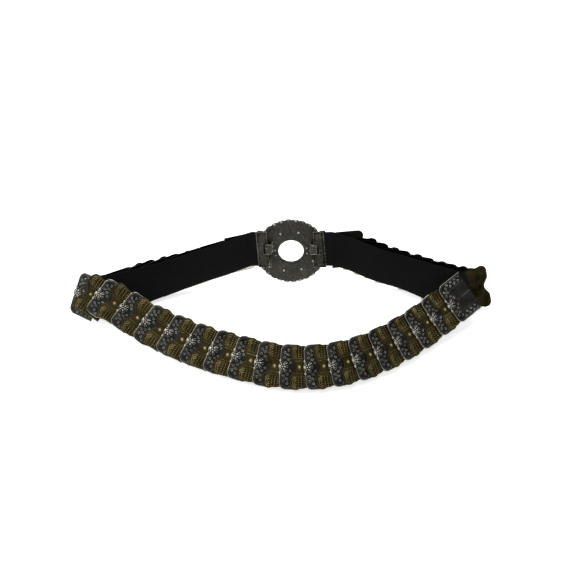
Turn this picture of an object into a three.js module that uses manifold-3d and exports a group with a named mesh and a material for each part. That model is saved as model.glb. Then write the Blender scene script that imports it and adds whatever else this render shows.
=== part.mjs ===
// Metal stretch belt: overlapping stamped plates, antique silver and antique brass by turns, on a black elastic
// band, closed at the back by a round scalloped buckle. Millimetres, +Z up. The closed loop lies as a lens on its
// lower edge: the front run leans back under its own weight, the back run stands up and is held off the ground by
// the buckle. Out of the loop means the side on which the plates show their faces.
import * as THREE from 'three';
import { mergeVertices } from 'three/addons/utils/BufferGeometryUtils.js';
import Module from 'manifold-3d';

const wasm = await Module();
wasm.setup();

// Driving dimensions
const GAP = 0.3; // clearance kept between pieces that touch on the real belt
const BAND = { width: 35, thick: 1.6 };
const SEAT_GAP = 0.55; // plate's back over the elastic
const PLATE_GAP = 0.5; // plate's back over the plate before it
const PLATE = { height: 38.5, length: 27, thick: 0.8, tuck: 6, tiltDegrees: 7.5, mostTiltDegrees: 24 };
const SILVER = { corner: 6, knobReach: 1.3, knobHalf: 3.2, knobRadius: 2.1, reliefWidth: 6.4, reliefInset: 0.9,
  bulge: 3.6, bulgeHalf: 8 };
const BRASS = { bodyHalf: 18.2, waist: 5.8, earDepth: 5, bossRadius: 1.8, bossInset: 8.4, panelWidth: 8.6, panelInner: 7.2 };
const RELIEF = 0.45;
const SPACING = { back: 11, leftTurn: 12, rightTurn: 14, front: 10.25, frontStretch: 2.3, stretchedPlates: 10,
  brassSetBack: 2.2 }; // in front each brass plate lies this much nearer to the silver one below it
const COUNT = { leftBack: 12, front: 36, rightBack: 11 };
const FIRST_FRONT = { index: 14, distance: 184 }; // the first plate wholly in front, and where it is attached
const BUCKLE = { radius: 33, hole: 12.5, thick: 2.2, scallops: 30, scallopDepth: 1.1, turnDegrees: 4.6, leanDegrees: 20,
  bezelWidth: 3.6, bezelHeight: 1.8, rimWidth: 4.2, rimHeight: 1.2, backOffset: 3.4, centre: [1, 16.6, 33] };
const CLAMP = { outer: 31.6, fold: 25.2, inner: 21.4, tabReach: 19.1, height: 37, sheet: 0.7, rise: 4.65 };
const HOOK = { width: 10, thick: 0.9, slotX: 23.4, slotWidth: 1.7, over: 0.3 };
const RIVETS = { radius: 1.5, height: 0.9, x: 8.2, y: 19.2 };
const PINS = { radius: 1, height: 0.9, x: 14.6, y: 2.7 };

const SET_DOWN = { x: 7.33, y: 39.31, z: 0.788 }; // puts the middle of the footprint at the origin

const MATERIALS = {
  silver: new THREE.MeshStandardMaterial({ color: 0x6d6d72, roughness: 0.42, metalness: 0.95 }),
  brass: new THREE.MeshStandardMaterial({ color: 0x6b5a2a, roughness: 0.5, metalness: 0.95 }),
  elastic: new THREE.MeshStandardMaterial({ color: 0x141416, roughness: 0.9, metalness: 0 }),
  pewter: new THREE.MeshStandardMaterial({ color: 0x4b4a44, roughness: 0.55, metalness: 0.9 }),
};

// The band's middle line, a row for each station: where it is, how far its upper edge leans from upright, and the
// compass direction of that lean in plan, counted from +X towards +Y.
const COURSE = [
  { name: 'left end', x: -25.3, y: 18.2, z: 37.4, lean: 20, toward: 90 },
  { name: 'left clamp', x: -31, y: 18.2, z: 37.4, lean: 20, toward: 90 },
  { name: 'left clamp mouth', x: -35, y: 18.2, z: 37.4, lean: 20, toward: 90 },
  { name: 'left back a', x: -55, y: 13.4, z: 32, lean: 17, toward: 104 },
  { name: 'left back b', x: -82.5, y: 5.7, z: 27, lean: 16, toward: 114 },
  { name: 'left back c', x: -114, y: -3.2, z: 21.2, lean: 21, toward: 121 },
  { name: 'left back d', x: -145, y: -14, z: 19.2, lean: 31, toward: 117 },
  { name: 'left back e', x: -165, y: -22, z: 21, lean: 36, toward: 98 },
  { name: 'left turn', x: -174.5, y: -27, z: 21.3, lean: 49, toward: 70 },
  { name: 'front a', x: -165.5, y: -32, z: 25, lean: 49, toward: 40 },
  { name: 'front b', x: -145.5, y: -39.5, z: 22.6, lean: 49, toward: 34 },
  { name: 'front c', x: -114, y: -57, z: 14.2, lean: 51, toward: 39 },
  { name: 'front d', x: -73.5, y: -75.8, z: 12.8, lean: 52, toward: 50 },
  { name: 'front e', x: -32.5, y: -87, z: 11.6, lean: 53, toward: 64 },
  { name: 'front f', x: 4.5, y: -92.5, z: 11.4, lean: 54, toward: 82 },
  { name: 'front g', x: 43, y: -88.5, z: 11.2, lean: 55, toward: 99 },
  { name: 'front h', x: 79, y: -74.3, z: 11.5, lean: 56, toward: 115 },
  { name: 'front i', x: 116.2, y: -50.5, z: 13.6, lean: 57, toward: 127 },
  { name: 'front j', x: 143, y: -31.5, z: 20, lean: 57, toward: 132 },
  { name: 'front k', x: 158.5, y: -21, z: 24, lean: 56, toward: 132 },
  { name: 'right turn', x: 164, y: -19.5, z: 22.3, lean: 50, toward: 120 },
  { name: 'right back e', x: 152.5, y: -16.5, z: 20.6, lean: 37, toward: 92 },
  { name: 'right back d', x: 132, y: -9.5, z: 21.4, lean: 29, toward: 71 },
  { name: 'right back c', x: 106, y: 2.5, z: 21.7, lean: 19, toward: 64 },
  { name: 'right back b', x: 78.5, y: 9.2, z: 26.5, lean: 17, toward: 66 },
  { name: 'right back a', x: 54.5, y: 17.4, z: 32, lean: 17, toward: 72 },
  { name: 'right clamp mouth', x: 38.5, y: 18.2, z: 37.4, lean: 20, toward: 90 },
  { name: 'right clamp', x: 33, y: 18.2, z: 37.4, lean: 20, toward: 90 },
  { name: 'right end', x: 27.3, y: 18.2, z: 37.4, lean: 20, toward: 90 },
];
const TURN_STEP = 9; // degrees of bend between two sections of the elastic
const RUN_STEP = 9; // and the most millimetres between them

const radians = THREE.MathUtils.degToRad;

function leaning(leanDegrees, towardDegrees) {
  const lean = radians(leanDegrees);
  const toward = radians(towardDegrees);
  return new THREE.Vector3(
    Math.sin(lean) * Math.cos(toward), Math.sin(lean) * Math.sin(toward), Math.cos(lean));
}

// Frames along the band: point, along (the way the plates follow each other), up (across the band) and out.
class Course {
  constructor(rows, samples = 30) {
    const middle = new THREE.CatmullRomCurve3(rows.map((r) => new THREE.Vector3(r.x, r.y, r.z)), false, 'centripetal');
    const lean = new THREE.CatmullRomCurve3(rows.map((r) => leaning(r.lean, r.toward)), false, 'catmullrom', 0.5);
    const count = (rows.length - 1) * samples;
    this.frames = [];
    this.distances = [];
    let travelled = 0;
    let before = null;
    for (let i = 0; i <= count; i++) {
      const point = middle.getPoint(i / count);
      const up = lean.getPoint(i / count).normalize();
      const out = new THREE.Vector3().crossVectors(middle.getTangent(i / count), up).normalize();
      if (before) travelled += before.distanceTo(point);
      before = point;
      this.frames.push({ point, up, out });
      this.distances.push(travelled);
    }
    this.length = travelled;
  }

  at(distance) {
    let i = 1;
    while (i < this.distances.length - 1 && this.distances[i] < distance) i++;
    const a = this.frames[i - 1];
    const b = this.frames[i];
    const t = (distance - this.distances[i - 1]) / (this.distances[i] - this.distances[i - 1]);
    const point = a.point.clone().lerp(b.point, t);
    const up = a.up.clone().lerp(b.up, t).normalize();
    const out = a.out.clone().lerp(b.out, t);
    out.addScaledVector(up, -out.dot(up)).normalize();
    return { point, up, out, along: new THREE.Vector3().crossVectors(up, out) };
  }
}

function solid(geometry) {
  const bare = geometry.clone();
  bare.deleteAttribute('normal');
  bare.deleteAttribute('uv');
  const merged = mergeVertices(bare, 1e-4);
  return new wasm.Manifold(new wasm.Mesh({
    numProp: 3,
    vertProperties: new Float32Array(merged.attributes.position.array),
    triVerts: new Uint32Array(merged.index.array),
  }));
}

function geometryOf(manifold) {
  const mesh = manifold.getMesh();
  const geometry = new THREE.BufferGeometry();
  const positions = new Float32Array(mesh.numVert * 3);
  for (let i = 0; i < mesh.numVert; i++) {
    for (let axis = 0; axis < 3; axis++) positions[3 * i + axis] = mesh.vertProperties[i * mesh.numProp + axis];
  }
  geometry.setAttribute('position', new THREE.BufferAttribute(positions, 3));
  geometry.setIndex(Array.from(mesh.triVerts));
  return geometry;
}

function named(name, geometry, material) {
  const mesh = new THREE.Mesh(geometry, material);
  mesh.name = name;
  return mesh;
}

function extruded(shape, depth, z = 0, curveSegments = 3) {
  const geometry = new THREE.ExtrudeGeometry(shape, { depth, bevelEnabled: false, curveSegments, steps: 1 });
  return geometry.translate(0, 0, z);
}

function box(x0, x1, y0, y1, z0, z1) {
  return solid(new THREE.BoxGeometry(x1 - x0, y1 - y0, z1 - z0)
    .translate((x0 + x1) / 2, (y0 + y1) / 2, (z0 + z1) / 2));
}

function dome(radius, height, x, y, z, sides = 8, rings = 4) {
  return solid(new THREE.SphereGeometry(radius, sides, rings).rotateX(Math.PI / 2)
    .scale(1, 1, height / radius).translate(x, y, z));
}

// Plates lie with their back on z = 0, the free edge towards -x and the tucked edge at +x.
const FREE = PLATE.tuck - PLATE.length;
const TUCKED = PLATE.tuck;
const HALF = PLATE.height / 2;

function silverOutline() {
  const s = new THREE.Shape();
  s.moveTo(TUCKED, -HALF);
  s.lineTo(TUCKED, HALF);
  s.lineTo(FREE + SILVER.corner, HALF);
  s.quadraticCurveTo(FREE, HALF, FREE, HALF - SILVER.corner);
  s.lineTo(FREE, SILVER.knobHalf);
  s.quadraticCurveTo(FREE - 2 * SILVER.knobReach, 0, FREE, -SILVER.knobHalf);
  s.lineTo(FREE, SILVER.corner - HALF);
  s.quadraticCurveTo(FREE, -HALF, FREE + SILVER.corner, -HALF);
  return s;
}

function silverPlate() {
  const inset = SILVER.reliefInset;
  const edge = FREE + inset;
  const right = edge + SILVER.reliefWidth;
  const top = HALF - inset;
  const corner = SILVER.corner - inset;
  const border = new THREE.Shape();
  border.moveTo(right, -top);
  border.lineTo(right, -SILVER.bulgeHalf);
  border.quadraticCurveTo(right + 2 * SILVER.bulge, 0, right, SILVER.bulgeHalf);
  border.lineTo(right, top);
  border.lineTo(edge + corner, top);
  border.quadraticCurveTo(edge, top, edge, top - corner);
  border.lineTo(edge, corner - top);
  border.quadraticCurveTo(edge, -top, edge + corner, -top);
  return solid(extruded(silverOutline(), PLATE.thick))
    .add(solid(extruded(border, RELIEF + 0.2, PLATE.thick - 0.2)))
    .add(dome(SILVER.knobRadius, 1.1, FREE + 1, 0, PLATE.thick));
}

function brassOutline() {
  const { bodyHalf, waist, earDepth } = BRASS;
  const s = new THREE.Shape();
  s.moveTo(TUCKED, -bodyHalf);
  s.lineTo(TUCKED, bodyHalf);
  s.lineTo(FREE + 2 * earDepth, bodyHalf);
  s.quadraticCurveTo(FREE + 1.4 * earDepth, HALF, FREE + earDepth, HALF);
  s.quadraticCurveTo(FREE, HALF, FREE, HALF - earDepth);
  s.quadraticCurveTo(FREE, HALF - 2 * earDepth, FREE + waist / 2, HALF / 3);
  s.quadraticCurveTo(FREE + waist, 0, FREE + waist / 2, -HALF / 3);
  s.quadraticCurveTo(FREE, 2 * earDepth - HALF, FREE, earDepth - HALF);
  s.quadraticCurveTo(FREE, -HALF, FREE + earDepth, -HALF);
  s.quadraticCurveTo(FREE + 1.4 * earDepth, -HALF, FREE + 2 * earDepth, -bodyHalf);
  return s;
}

function brassPlate() {
  const left = FREE + 1.3;
  const right = left + BRASS.panelWidth;
  const high = HALF - 1.4;
  const low = BRASS.panelInner;
  let plate = solid(extruded(brassOutline(), PLATE.thick))
    .add(dome(BRASS.bossRadius, 1.2, FREE + BRASS.bossInset, 0, PLATE.thick));
  for (const side of [1, -1]) {
    const panel = new THREE.Shape();
    panel.moveTo(right, side * low);
    panel.lineTo(right, side * high);
    panel.lineTo(left + 3.4, side * high);
    panel.quadraticCurveTo(left, side * high, left, side * (high - 4));
    panel.quadraticCurveTo(left, side * (low + 2), left + 2, side * low);
    plate = plate.add(solid(extruded(panel, RELIEF + 0.2, PLATE.thick - 0.2)));
  }
  return plate;
}

function plainPlate(outline) {
  return solid(extruded(outline, PLATE.thick));
}

function plateMatrix(frame, seat, tiltDegrees) {
  const basis = new THREE.Matrix4().makeBasis(frame.along, frame.up, frame.out);
  basis.setPosition(frame.point.clone().addScaledVector(frame.out, seat));
  return basis.multiply(new THREE.Matrix4().makeRotationY(radians(tiltDegrees)));
}

const ACROSS = [-1, -0.5, 0, 0.5, 1];
const LENGTHWISE = Array.from({ length: 20 }, (_, i) => FREE + (i / 19) * PLATE.length);

// How far the band's outer face stands up through a plate's back
function bandAbove(course, distance, matrix) {
  const toPlate = matrix.clone().invert();
  let most = -Infinity;
  for (const x of LENGTHWISE) {
    const f = course.at(distance + x);
    for (const y of ACROSS) {
      const face = f.point.clone().addScaledVector(f.up, (y * BAND.width) / 2)
        .addScaledVector(f.out, BAND.thick / 2).applyMatrix4(toPlate);
      if (face.x > FREE - 1 && face.x < TUCKED + 1) most = Math.max(most, face.z);
    }
  }
  return most;
}

// Least height of one plate's back above the face of the plate it lies on
function heightOver(matrix, below) {
  const toBelow = below.clone().invert().multiply(matrix);
  const fromBelow = toBelow.clone().invert();
  let least = Infinity;
  for (const x of LENGTHWISE) {
    for (const y of ACROSS) {
      const back = new THREE.Vector3(x, y * HALF, 0).applyMatrix4(toBelow);
      if (back.x > FREE && back.x < TUCKED) least = Math.min(least, back.z - PLATE.thick);
      const face = new THREE.Vector3(x, y * HALF, PLATE.thick).applyMatrix4(fromBelow);
      if (face.x > FREE && face.x < TUCKED) least = Math.min(least, -face.z);
    }
  }
  return least;
}

// Each plate stands clear of the band, and is tipped up as far as the plate before it asks
function layPlates(course, lines) {
  const laid = [];
  lines.forEach((distance, i) => {
    const frame = course.at(distance);
    let matrix;
    for (let tilt = PLATE.tiltDegrees; tilt < PLATE.mostTiltDegrees; tilt += 0.5) {
      const touching = plateMatrix(frame, BAND.thick / 2, tilt);
      const seat = BAND.thick / 2 + bandAbove(course, distance, touching) + SEAT_GAP;
      matrix = plateMatrix(frame, seat, tilt);
      if (i === 0 || heightOver(matrix, laid[i - 1]) > PLATE_GAP) break;
    }
    laid.push(matrix);
  });
  return laid;
}

// Distances of the plates' attaching lines, from the left clamp round to the right one
function attachingLines() {
  const { index: first, distance } = FIRST_FRONT;
  const frontEnd = COUNT.leftBack + COUNT.front;
  const lines = new Array(frontEnd + COUNT.rightBack);
  lines[first] = distance;
  for (let i = first - 1; i >= 0; i--) {
    lines[i] = lines[i + 1] - (i >= COUNT.leftBack ? SPACING.leftTurn : SPACING.back);
  }
  for (let i = first + 1; i < lines.length; i++) {
    const stretch = SPACING.frontStretch * Math.max(0, 1 - (i - first - 1) / SPACING.stretchedPlates);
    let step = SPACING.front + stretch;
    if (i === frontEnd - 1) step = SPACING.rightTurn;
    if (i >= frontEnd) step = SPACING.back;
    lines[i] = lines[i - 1] + step;
  }
  for (let i = first + 1; i < frontEnd - 1; i += 2) lines[i] -= SPACING.brassSetBack;
  return lines;
}

function elasticBand(course) {
  const stops = [0];
  let from = course.at(0);
  for (let d = 0.5; d < course.length; d += 0.5) {
    const here = course.at(d);
    const bend = THREE.MathUtils.radToDeg(here.along.angleTo(from.along) + here.up.angleTo(from.up));
    if (bend > TURN_STEP || d - stops[stops.length - 1] > RUN_STEP) {
      stops.push(d);
      from = here;
    }
  }
  stops.push(course.length);
  const positions = [];
  for (const stop of stops) {
    const f = course.at(stop);
    for (const [across, through] of [[-1, -1], [1, -1], [1, 1], [-1, 1]]) {
      const corner = f.point.clone()
        .addScaledVector(f.up, across * BAND.width / 2)
        .addScaledVector(f.out, through * BAND.thick / 2);
      positions.push(corner.x, corner.y, corner.z);
    }
  }
  const index = [];
  const last = (stops.length - 1) * 4;
  for (let i = 0; i < last; i += 4) {
    for (let k = 0; k < 4; k++) {
      const a = i + k;
      const b = i + (k + 1) % 4;
      index.push(a, b, b + 4, a, b + 4, a + 4);
    }
  }
  index.push(0, 2, 1, 0, 3, 2, last, last + 1, last + 2, last, last + 2, last + 3);
  const geometry = new THREE.BufferGeometry();
  geometry.setAttribute('position', new THREE.BufferAttribute(new Float32Array(positions), 3));
  geometry.setIndex(index);
  return geometry;
}

// The plates of one back run, joined by a small block where each lies on the one before
function joinedPlates(matrices, firstIndex, plates) {
  const blockAt = FREE + 14;
  let run = null;
  matrices.forEach((matrix, i) => {
    let plate = plates[(firstIndex + i) % 2];
    if (i > 0) {
      const toBelow = matrices[i - 1].clone().invert().multiply(matrix);
      const height = new THREE.Vector3(blockAt, 0, 0).applyMatrix4(toBelow).z;
      plate = plate.add(box(blockAt - 1.2, blockAt + 1.2, -3, 3, PLATE.thick / 2 - height, 0.1));
    }
    const placed = solid(geometryOf(plate).applyMatrix4(matrix));
    run = run ? run.add(placed) : placed;
  });
  return run;
}

// The buckle's own frame: x to the right seen from inside the loop, y up, z into the loop
function scallopedOutline() {
  const { radius, scallops, scallopDepth } = BUCKLE;
  const s = new THREE.Shape();
  const steps = scallops * 4;
  for (let i = 0; i <= steps; i++) {
    const angle = (i / steps) * Math.PI * 2;
    const bulge = Math.abs(Math.sin((angle * scallops) / 2));
    const r = radius - scallopDepth * (1 - bulge);
    if (i === 0) s.moveTo(r * Math.cos(angle), r * Math.sin(angle));
    else if (i < steps) s.lineTo(r * Math.cos(angle), r * Math.sin(angle));
  }
  return s;
}

// A raised ring that stands on the disc's face, which looks down: base above, narrower crown below
function ring(outerRadius, innerRadius, base, crown, slope, sides = 32) {
  const profile = [[outerRadius - slope, crown], [outerRadius, base], [innerRadius, base], [innerRadius + slope, crown],
    [outerRadius - slope, crown]].map(([r, z]) => new THREE.Vector2(r, z));
  return solid(new THREE.LatheGeometry(profile, sides).rotateX(Math.PI / 2));
}

function buckleDisc() {
  const back = -BUCKLE.backOffset;
  const front = back - BUCKLE.thick;
  const bezelOuter = BUCKLE.hole + BUCKLE.bezelWidth;
  const rimOuter = BUCKLE.radius - BUCKLE.scallopDepth - 0.4;
  let disc = solid(extruded(scallopedOutline(), BUCKLE.thick, front));
  const bore = solid(new THREE.CylinderGeometry(BUCKLE.hole, BUCKLE.hole, 20, 32).rotateX(Math.PI / 2));
  disc = disc.add(ring(bezelOuter, BUCKLE.hole - 1, front + 0.2, front - BUCKLE.bezelHeight, 0.8));
  disc = disc.add(ring(rimOuter, rimOuter - BUCKLE.rimWidth, front + 0.2, front - BUCKLE.rimHeight, 0.8));
  disc = disc.subtract(bore);
  for (const [x, y] of [[1, 1], [1, -1], [-1, 1], [-1, -1]]) {
    disc = disc.add(dome(RIVETS.radius, RIVETS.height, x * RIVETS.x, y * RIVETS.y, back));
    disc = disc.add(dome(PINS.radius, PINS.height, x * PINS.x, y * PINS.y, back));
  }
  return disc;
}

// Folded sheet clamp on an end of the elastic, drawn for the left side; the right one is its mirror image
function clamp() {
  const { outer, fold, inner, tabReach, height, sheet, rise } = CLAMP;
  const high = rise + height / 2;
  const low = rise - height / 2;
  const wall = BAND.thick / 2 + GAP;
  const slotLow = rise + 1 - HOOK.width / 2 - 2 * GAP;
  const slotHigh = rise + 1 + HOOK.width / 2 + 2 * GAP;
  const lidEdge = new THREE.Shape();
  lidEdge.moveTo(-outer, low);
  lidEdge.lineTo(-tabReach, low);
  lidEdge.lineTo(-tabReach, low + 9);
  lidEdge.lineTo(-inner, low + 9);
  lidEdge.lineTo(-inner, high);
  lidEdge.lineTo(-outer, high);
  return solid(extruded(lidEdge, sheet, wall))
    .add(box(-outer, -fold, low, high, -wall - sheet, -wall))
    .add(box(-fold - sheet, -fold, low, high, -wall - sheet, wall + sheet))
    .subtract(box(-HOOK.slotX - HOOK.slotWidth / 2, -HOOK.slotX + HOOK.slotWidth / 2, slotLow, slotHigh,
      wall - 1, wall + sheet + 1));
}

// Hook that stands on the disc, goes over the clamp's lid and down through its slot
function hook(reach) {
  const { width, thick, slotX, over } = HOOK;
  const y = CLAMP.rise + 1;
  const base = -BUCKLE.backOffset + GAP;
  const bridge = BAND.thick / 2 + GAP + CLAMP.sheet + over;
  return box(-reach, -reach + thick, y - width / 2, y + width / 2, base, bridge + thick)
    .add(box(-slotX - thick / 2, -reach + thick, y - width / 2, y + width / 2, bridge, bridge + thick))
    .add(box(-slotX - thick / 2, -slotX + thick / 2, y - width / 2, y + width / 2, -0.6, bridge + thick))
    .add(box(-reach, -reach + 2, y - width / 2, y + width / 2, base, base + thick));
}

function mirroredInX(manifold) {
  return manifold.mirror([1, 0, 0]);
}

const belt = new THREE.Group();
belt.position.set(SET_DOWN.x, SET_DOWN.y, SET_DOWN.z);
const course = new Course(COURSE);
belt.add(named('elastic_band', elasticBand(course), MATERIALS.elastic));

const laid = layPlates(course, attachingLines());
const kinds = ['silver', 'brass'];
const plain = [plainPlate(silverOutline()), plainPlate(brassOutline())];
const detailed = [geometryOf(silverPlate()), geometryOf(brassPlate())];
const frontEnd = COUNT.leftBack + COUNT.front;
belt.add(named('left_back_plates',
  geometryOf(joinedPlates(laid.slice(0, COUNT.leftBack), 0, plain)), MATERIALS.brass));
for (let i = COUNT.leftBack; i < frontEnd; i++) {
  const kind = kinds[i % 2];
  const number = String(Math.floor((i - COUNT.leftBack) / 2) + 1).padStart(2, '0');
  const plate = named(`${kind}_plate_${number}`, detailed[i % 2], MATERIALS[kind]);
  plate.applyMatrix4(laid[i]);
  belt.add(plate);
}
belt.add(named('right_back_plates',
  geometryOf(joinedPlates(laid.slice(frontEnd), frontEnd, plain)), MATERIALS.brass));

const buckle = new THREE.Group();
buckle.position.set(...BUCKLE.centre);
buckle.rotation.x = radians(90 - BUCKLE.leanDegrees);
belt.add(buckle);
const disc = named('buckle_disc', geometryOf(buckleDisc()), MATERIALS.pewter);
disc.rotation.z = radians(BUCKLE.turnDegrees);
buckle.add(disc);
buckle.add(named('left_clamp', geometryOf(clamp()), MATERIALS.pewter));
buckle.add(named('right_clamp', geometryOf(mirroredInX(clamp())), MATERIALS.pewter));
buckle.add(named('left_hook', geometryOf(hook(18.4)), MATERIALS.pewter));
buckle.add(named('right_hook', geometryOf(mirroredInX(hook(18.4))), MATERIALS.pewter));

export default belt;
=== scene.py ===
"""Metal stretch belt: stamped silver and brass plates on black elastic, closed by a round cast buckle.

The course, the plates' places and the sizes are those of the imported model. This script lays a detailed plate
over every solid one, weaves the elastic, casts the buckle, folds the clamps, and sets up the floor, the light
and the camera. Millimetres are used throughout and turned to metres when a mesh is put down.
"""

from __future__ import annotations

import logging
import math
from dataclasses import dataclass, field
from enum import Enum
from typing import Any, Callable, Optional, Sequence

import bmesh
import bpy
import numpy as np
from mathutils import Matrix, Vector

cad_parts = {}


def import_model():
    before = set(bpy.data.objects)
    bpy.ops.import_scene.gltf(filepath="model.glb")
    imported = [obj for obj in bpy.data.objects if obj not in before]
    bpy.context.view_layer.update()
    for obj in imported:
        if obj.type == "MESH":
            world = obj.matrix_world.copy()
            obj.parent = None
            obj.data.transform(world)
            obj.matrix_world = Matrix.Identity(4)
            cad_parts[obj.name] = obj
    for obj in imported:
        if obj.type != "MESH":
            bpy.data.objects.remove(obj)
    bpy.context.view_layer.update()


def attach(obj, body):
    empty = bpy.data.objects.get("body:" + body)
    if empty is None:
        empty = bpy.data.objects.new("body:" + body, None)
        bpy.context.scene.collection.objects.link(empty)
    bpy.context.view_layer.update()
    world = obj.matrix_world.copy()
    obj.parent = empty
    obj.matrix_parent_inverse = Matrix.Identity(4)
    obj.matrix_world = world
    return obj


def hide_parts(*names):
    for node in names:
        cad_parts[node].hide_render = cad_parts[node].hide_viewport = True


log = logging.getLogger("belt")

MM = 0.001
# Shift from the axes in which the stations are given to the belt's axes in the frame, where it is centred and
# stands on the table.
SET_DOWN = Vector((7.33, 39.31, 0.788))


@dataclass(frozen=True)
class Station:
    """A place on the band's middle line: where it is, and how far and which way its upper edge leans."""

    name: str
    x: float
    y: float
    z: float
    lean: float
    toward: float

    def point(self) -> np.ndarray:
        """The place itself."""
        return np.array((self.x, self.y, self.z))

    def up(self) -> np.ndarray:
        """Unit vector across the band, from its lower to its upper edge."""
        lean, toward = math.radians(self.lean), math.radians(self.toward)
        sideways = math.sin(lean)
        return np.array((sideways * math.cos(toward), sideways * math.sin(toward), math.cos(lean)))


STATIONS = (
    Station("left end", -25.3, 18.2, 37.4, 20, 90),
    Station("left clamp", -31, 18.2, 37.4, 20, 90),
    Station("left clamp mouth", -35, 18.2, 37.4, 20, 90),
    Station("left back a", -55, 13.4, 32, 17, 104),
    Station("left back b", -82.5, 5.7, 27, 16, 114),
    Station("left back c", -114, -3.2, 21.2, 21, 121),
    Station("left back d", -145, -14, 19.2, 31, 117),
    Station("left back e", -165, -22, 21, 36, 98),
    Station("left turn", -174.5, -27, 21.3, 49, 70),
    Station("front a", -165.5, -32, 25, 49, 40),
    Station("front b", -145.5, -39.5, 22.6, 49, 34),
    Station("front c", -114, -57, 14.2, 51, 39),
    Station("front d", -73.5, -75.8, 12.8, 52, 50),
    Station("front e", -32.5, -87, 11.6, 53, 64),
    Station("front f", 4.5, -92.5, 11.4, 54, 82),
    Station("front g", 43, -88.5, 11.2, 55, 99),
    Station("front h", 79, -74.3, 11.5, 56, 115),
    Station("front i", 116.2, -50.5, 13.6, 57, 127),
    Station("front j", 143, -31.5, 20, 57, 132),
    Station("front k", 158.5, -21, 24, 56, 132),
    Station("right turn", 164, -19.5, 22.3, 50, 120),
    Station("right back e", 152.5, -16.5, 20.6, 37, 92),
    Station("right back d", 132, -9.5, 21.4, 29, 71),
    Station("right back c", 106, 2.5, 21.7, 19, 64),
    Station("right back b", 78.5, 9.2, 26.5, 17, 66),
    Station("right back a", 54.5, 17.4, 32, 17, 72),
    Station("right clamp mouth", 38.5, 18.2, 37.4, 20, 90),
    Station("right clamp", 33, 18.2, 37.4, 20, 90),
    Station("right end", 27.3, 18.2, 37.4, 20, 90),
)


@dataclass(frozen=True)
class Band:
    """Sizes of the elastic band."""

    width: float = 35.0
    thick: float = 1.6


@dataclass(frozen=True)
class PlateSize:
    """Sizes that both kinds of plate share. x runs from the free to the tucked edge, y across the band."""

    height: float = 38.5
    length: float = 27.0
    thick: float = 0.8
    tuck: float = 6.0
    tilt: float = 7.5
    most_tilt: float = 24.0
    tilt_step: float = 0.5
    seat_gap: float = 0.55
    plate_gap: float = 0.5

    @property
    def free(self) -> float:
        """x of the free edge."""
        return self.tuck - self.length

    @property
    def half(self) -> float:
        """Half the plate's height."""
        return self.height / 2


BAND = Band()
PLATE = PlateSize()


@dataclass(frozen=True)
class Spacing:
    """How far apart the plates are attached along the band, and how many there are of each run."""

    back: float = 11.0
    left_turn: float = 12.0
    right_turn: float = 14.0
    front: float = 10.25
    front_stretch: float = 2.3
    stretched_plates: int = 10
    brass_set_back: float = 2.2
    left_back_count: int = 12
    front_count: int = 36
    right_back_count: int = 11
    first_front: int = 14
    first_distance: float = 184.0

    @property
    def front_end(self) -> int:
        """Index of the first plate of the right back run."""
        return self.left_back_count + self.front_count

    def attaching_lines(self) -> list[float]:
        """Distances of the plates' attaching lines along the band, from the left clamp to the right one.

        Returns:
            One distance for each plate, in order.
        """
        lines = [0.0] * (self.front_end + self.right_back_count)
        lines[self.first_front] = self.first_distance
        for i in range(self.first_front - 1, -1, -1):
            lines[i] = lines[i + 1] - (self.left_turn if i >= self.left_back_count else self.back)
        for i in range(self.first_front + 1, len(lines)):
            done = (i - self.first_front - 1) / self.stretched_plates
            step = self.front + self.front_stretch * max(0.0, 1 - done)
            if i == self.front_end - 1:
                step = self.right_turn
            if i >= self.front_end:
                step = self.back
            lines[i] = lines[i - 1] + step
        for i in range(self.first_front + 1, self.front_end - 1, 2):
            lines[i] -= self.brass_set_back
        return lines


SPACING = Spacing()


def cubic(x0: np.ndarray, x1: np.ndarray, slope0: np.ndarray, slope1: np.ndarray, t: float) -> np.ndarray:
    """Hermite cubic between two points.

    Args:
        x0: Value at the start.
        x1: Value at the end.
        slope0: Slope at the start.
        slope1: Slope at the end.
        t: Place between them, 0 to 1.

    Returns:
        The value at t.
    """
    c2 = -3 * x0 + 3 * x1 - 2 * slope0 - slope1
    c3 = 2 * x0 - 2 * x1 + slope0 + slope1
    return x0 + slope0 * t + c2 * t * t + c3 * t**3


def through(rows: Sequence[np.ndarray], t: float, centripetal: bool) -> np.ndarray:
    """Catmull-Rom curve through rows of numbers.

    Args:
        rows: The points it goes through.
        t: Place on the curve, 0 to 1, the same share for every stretch.
        centripetal: True spaces the stretches by the root of their length, False evenly.

    Returns:
        The value at t.
    """
    place = t * (len(rows) - 1)
    i = min(int(math.floor(place)), len(rows) - 2)
    p1, p2 = rows[i], rows[i + 1]
    p0 = rows[i - 1] if i > 0 else 2 * rows[0] - rows[1]
    p3 = rows[i + 2] if i + 2 < len(rows) else 2 * rows[-1] - rows[-2]
    if not centripetal:
        return cubic(p1, p2, 0.5 * (p2 - p0), 0.5 * (p3 - p1), place - i)
    d0, d1, d2 = (float(np.dot(b - a, b - a)) ** 0.25 for a, b in ((p0, p1), (p1, p2), (p2, p3)))
    slope1 = ((p1 - p0) / d0 - (p2 - p0) / (d0 + d1) + (p2 - p1) / d1) * d1
    slope2 = ((p2 - p1) / d1 - (p3 - p1) / (d1 + d2) + (p3 - p2) / d2) * d1
    return cubic(p1, p2, slope1, slope2, place - i)


@dataclass
class Frame:
    """Directions at one place of the band."""

    point: Vector
    up: Vector
    out: Vector

    @property
    def along(self) -> Vector:
        """Direction in which the plates follow each other."""
        return self.up.cross(self.out)


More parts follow.
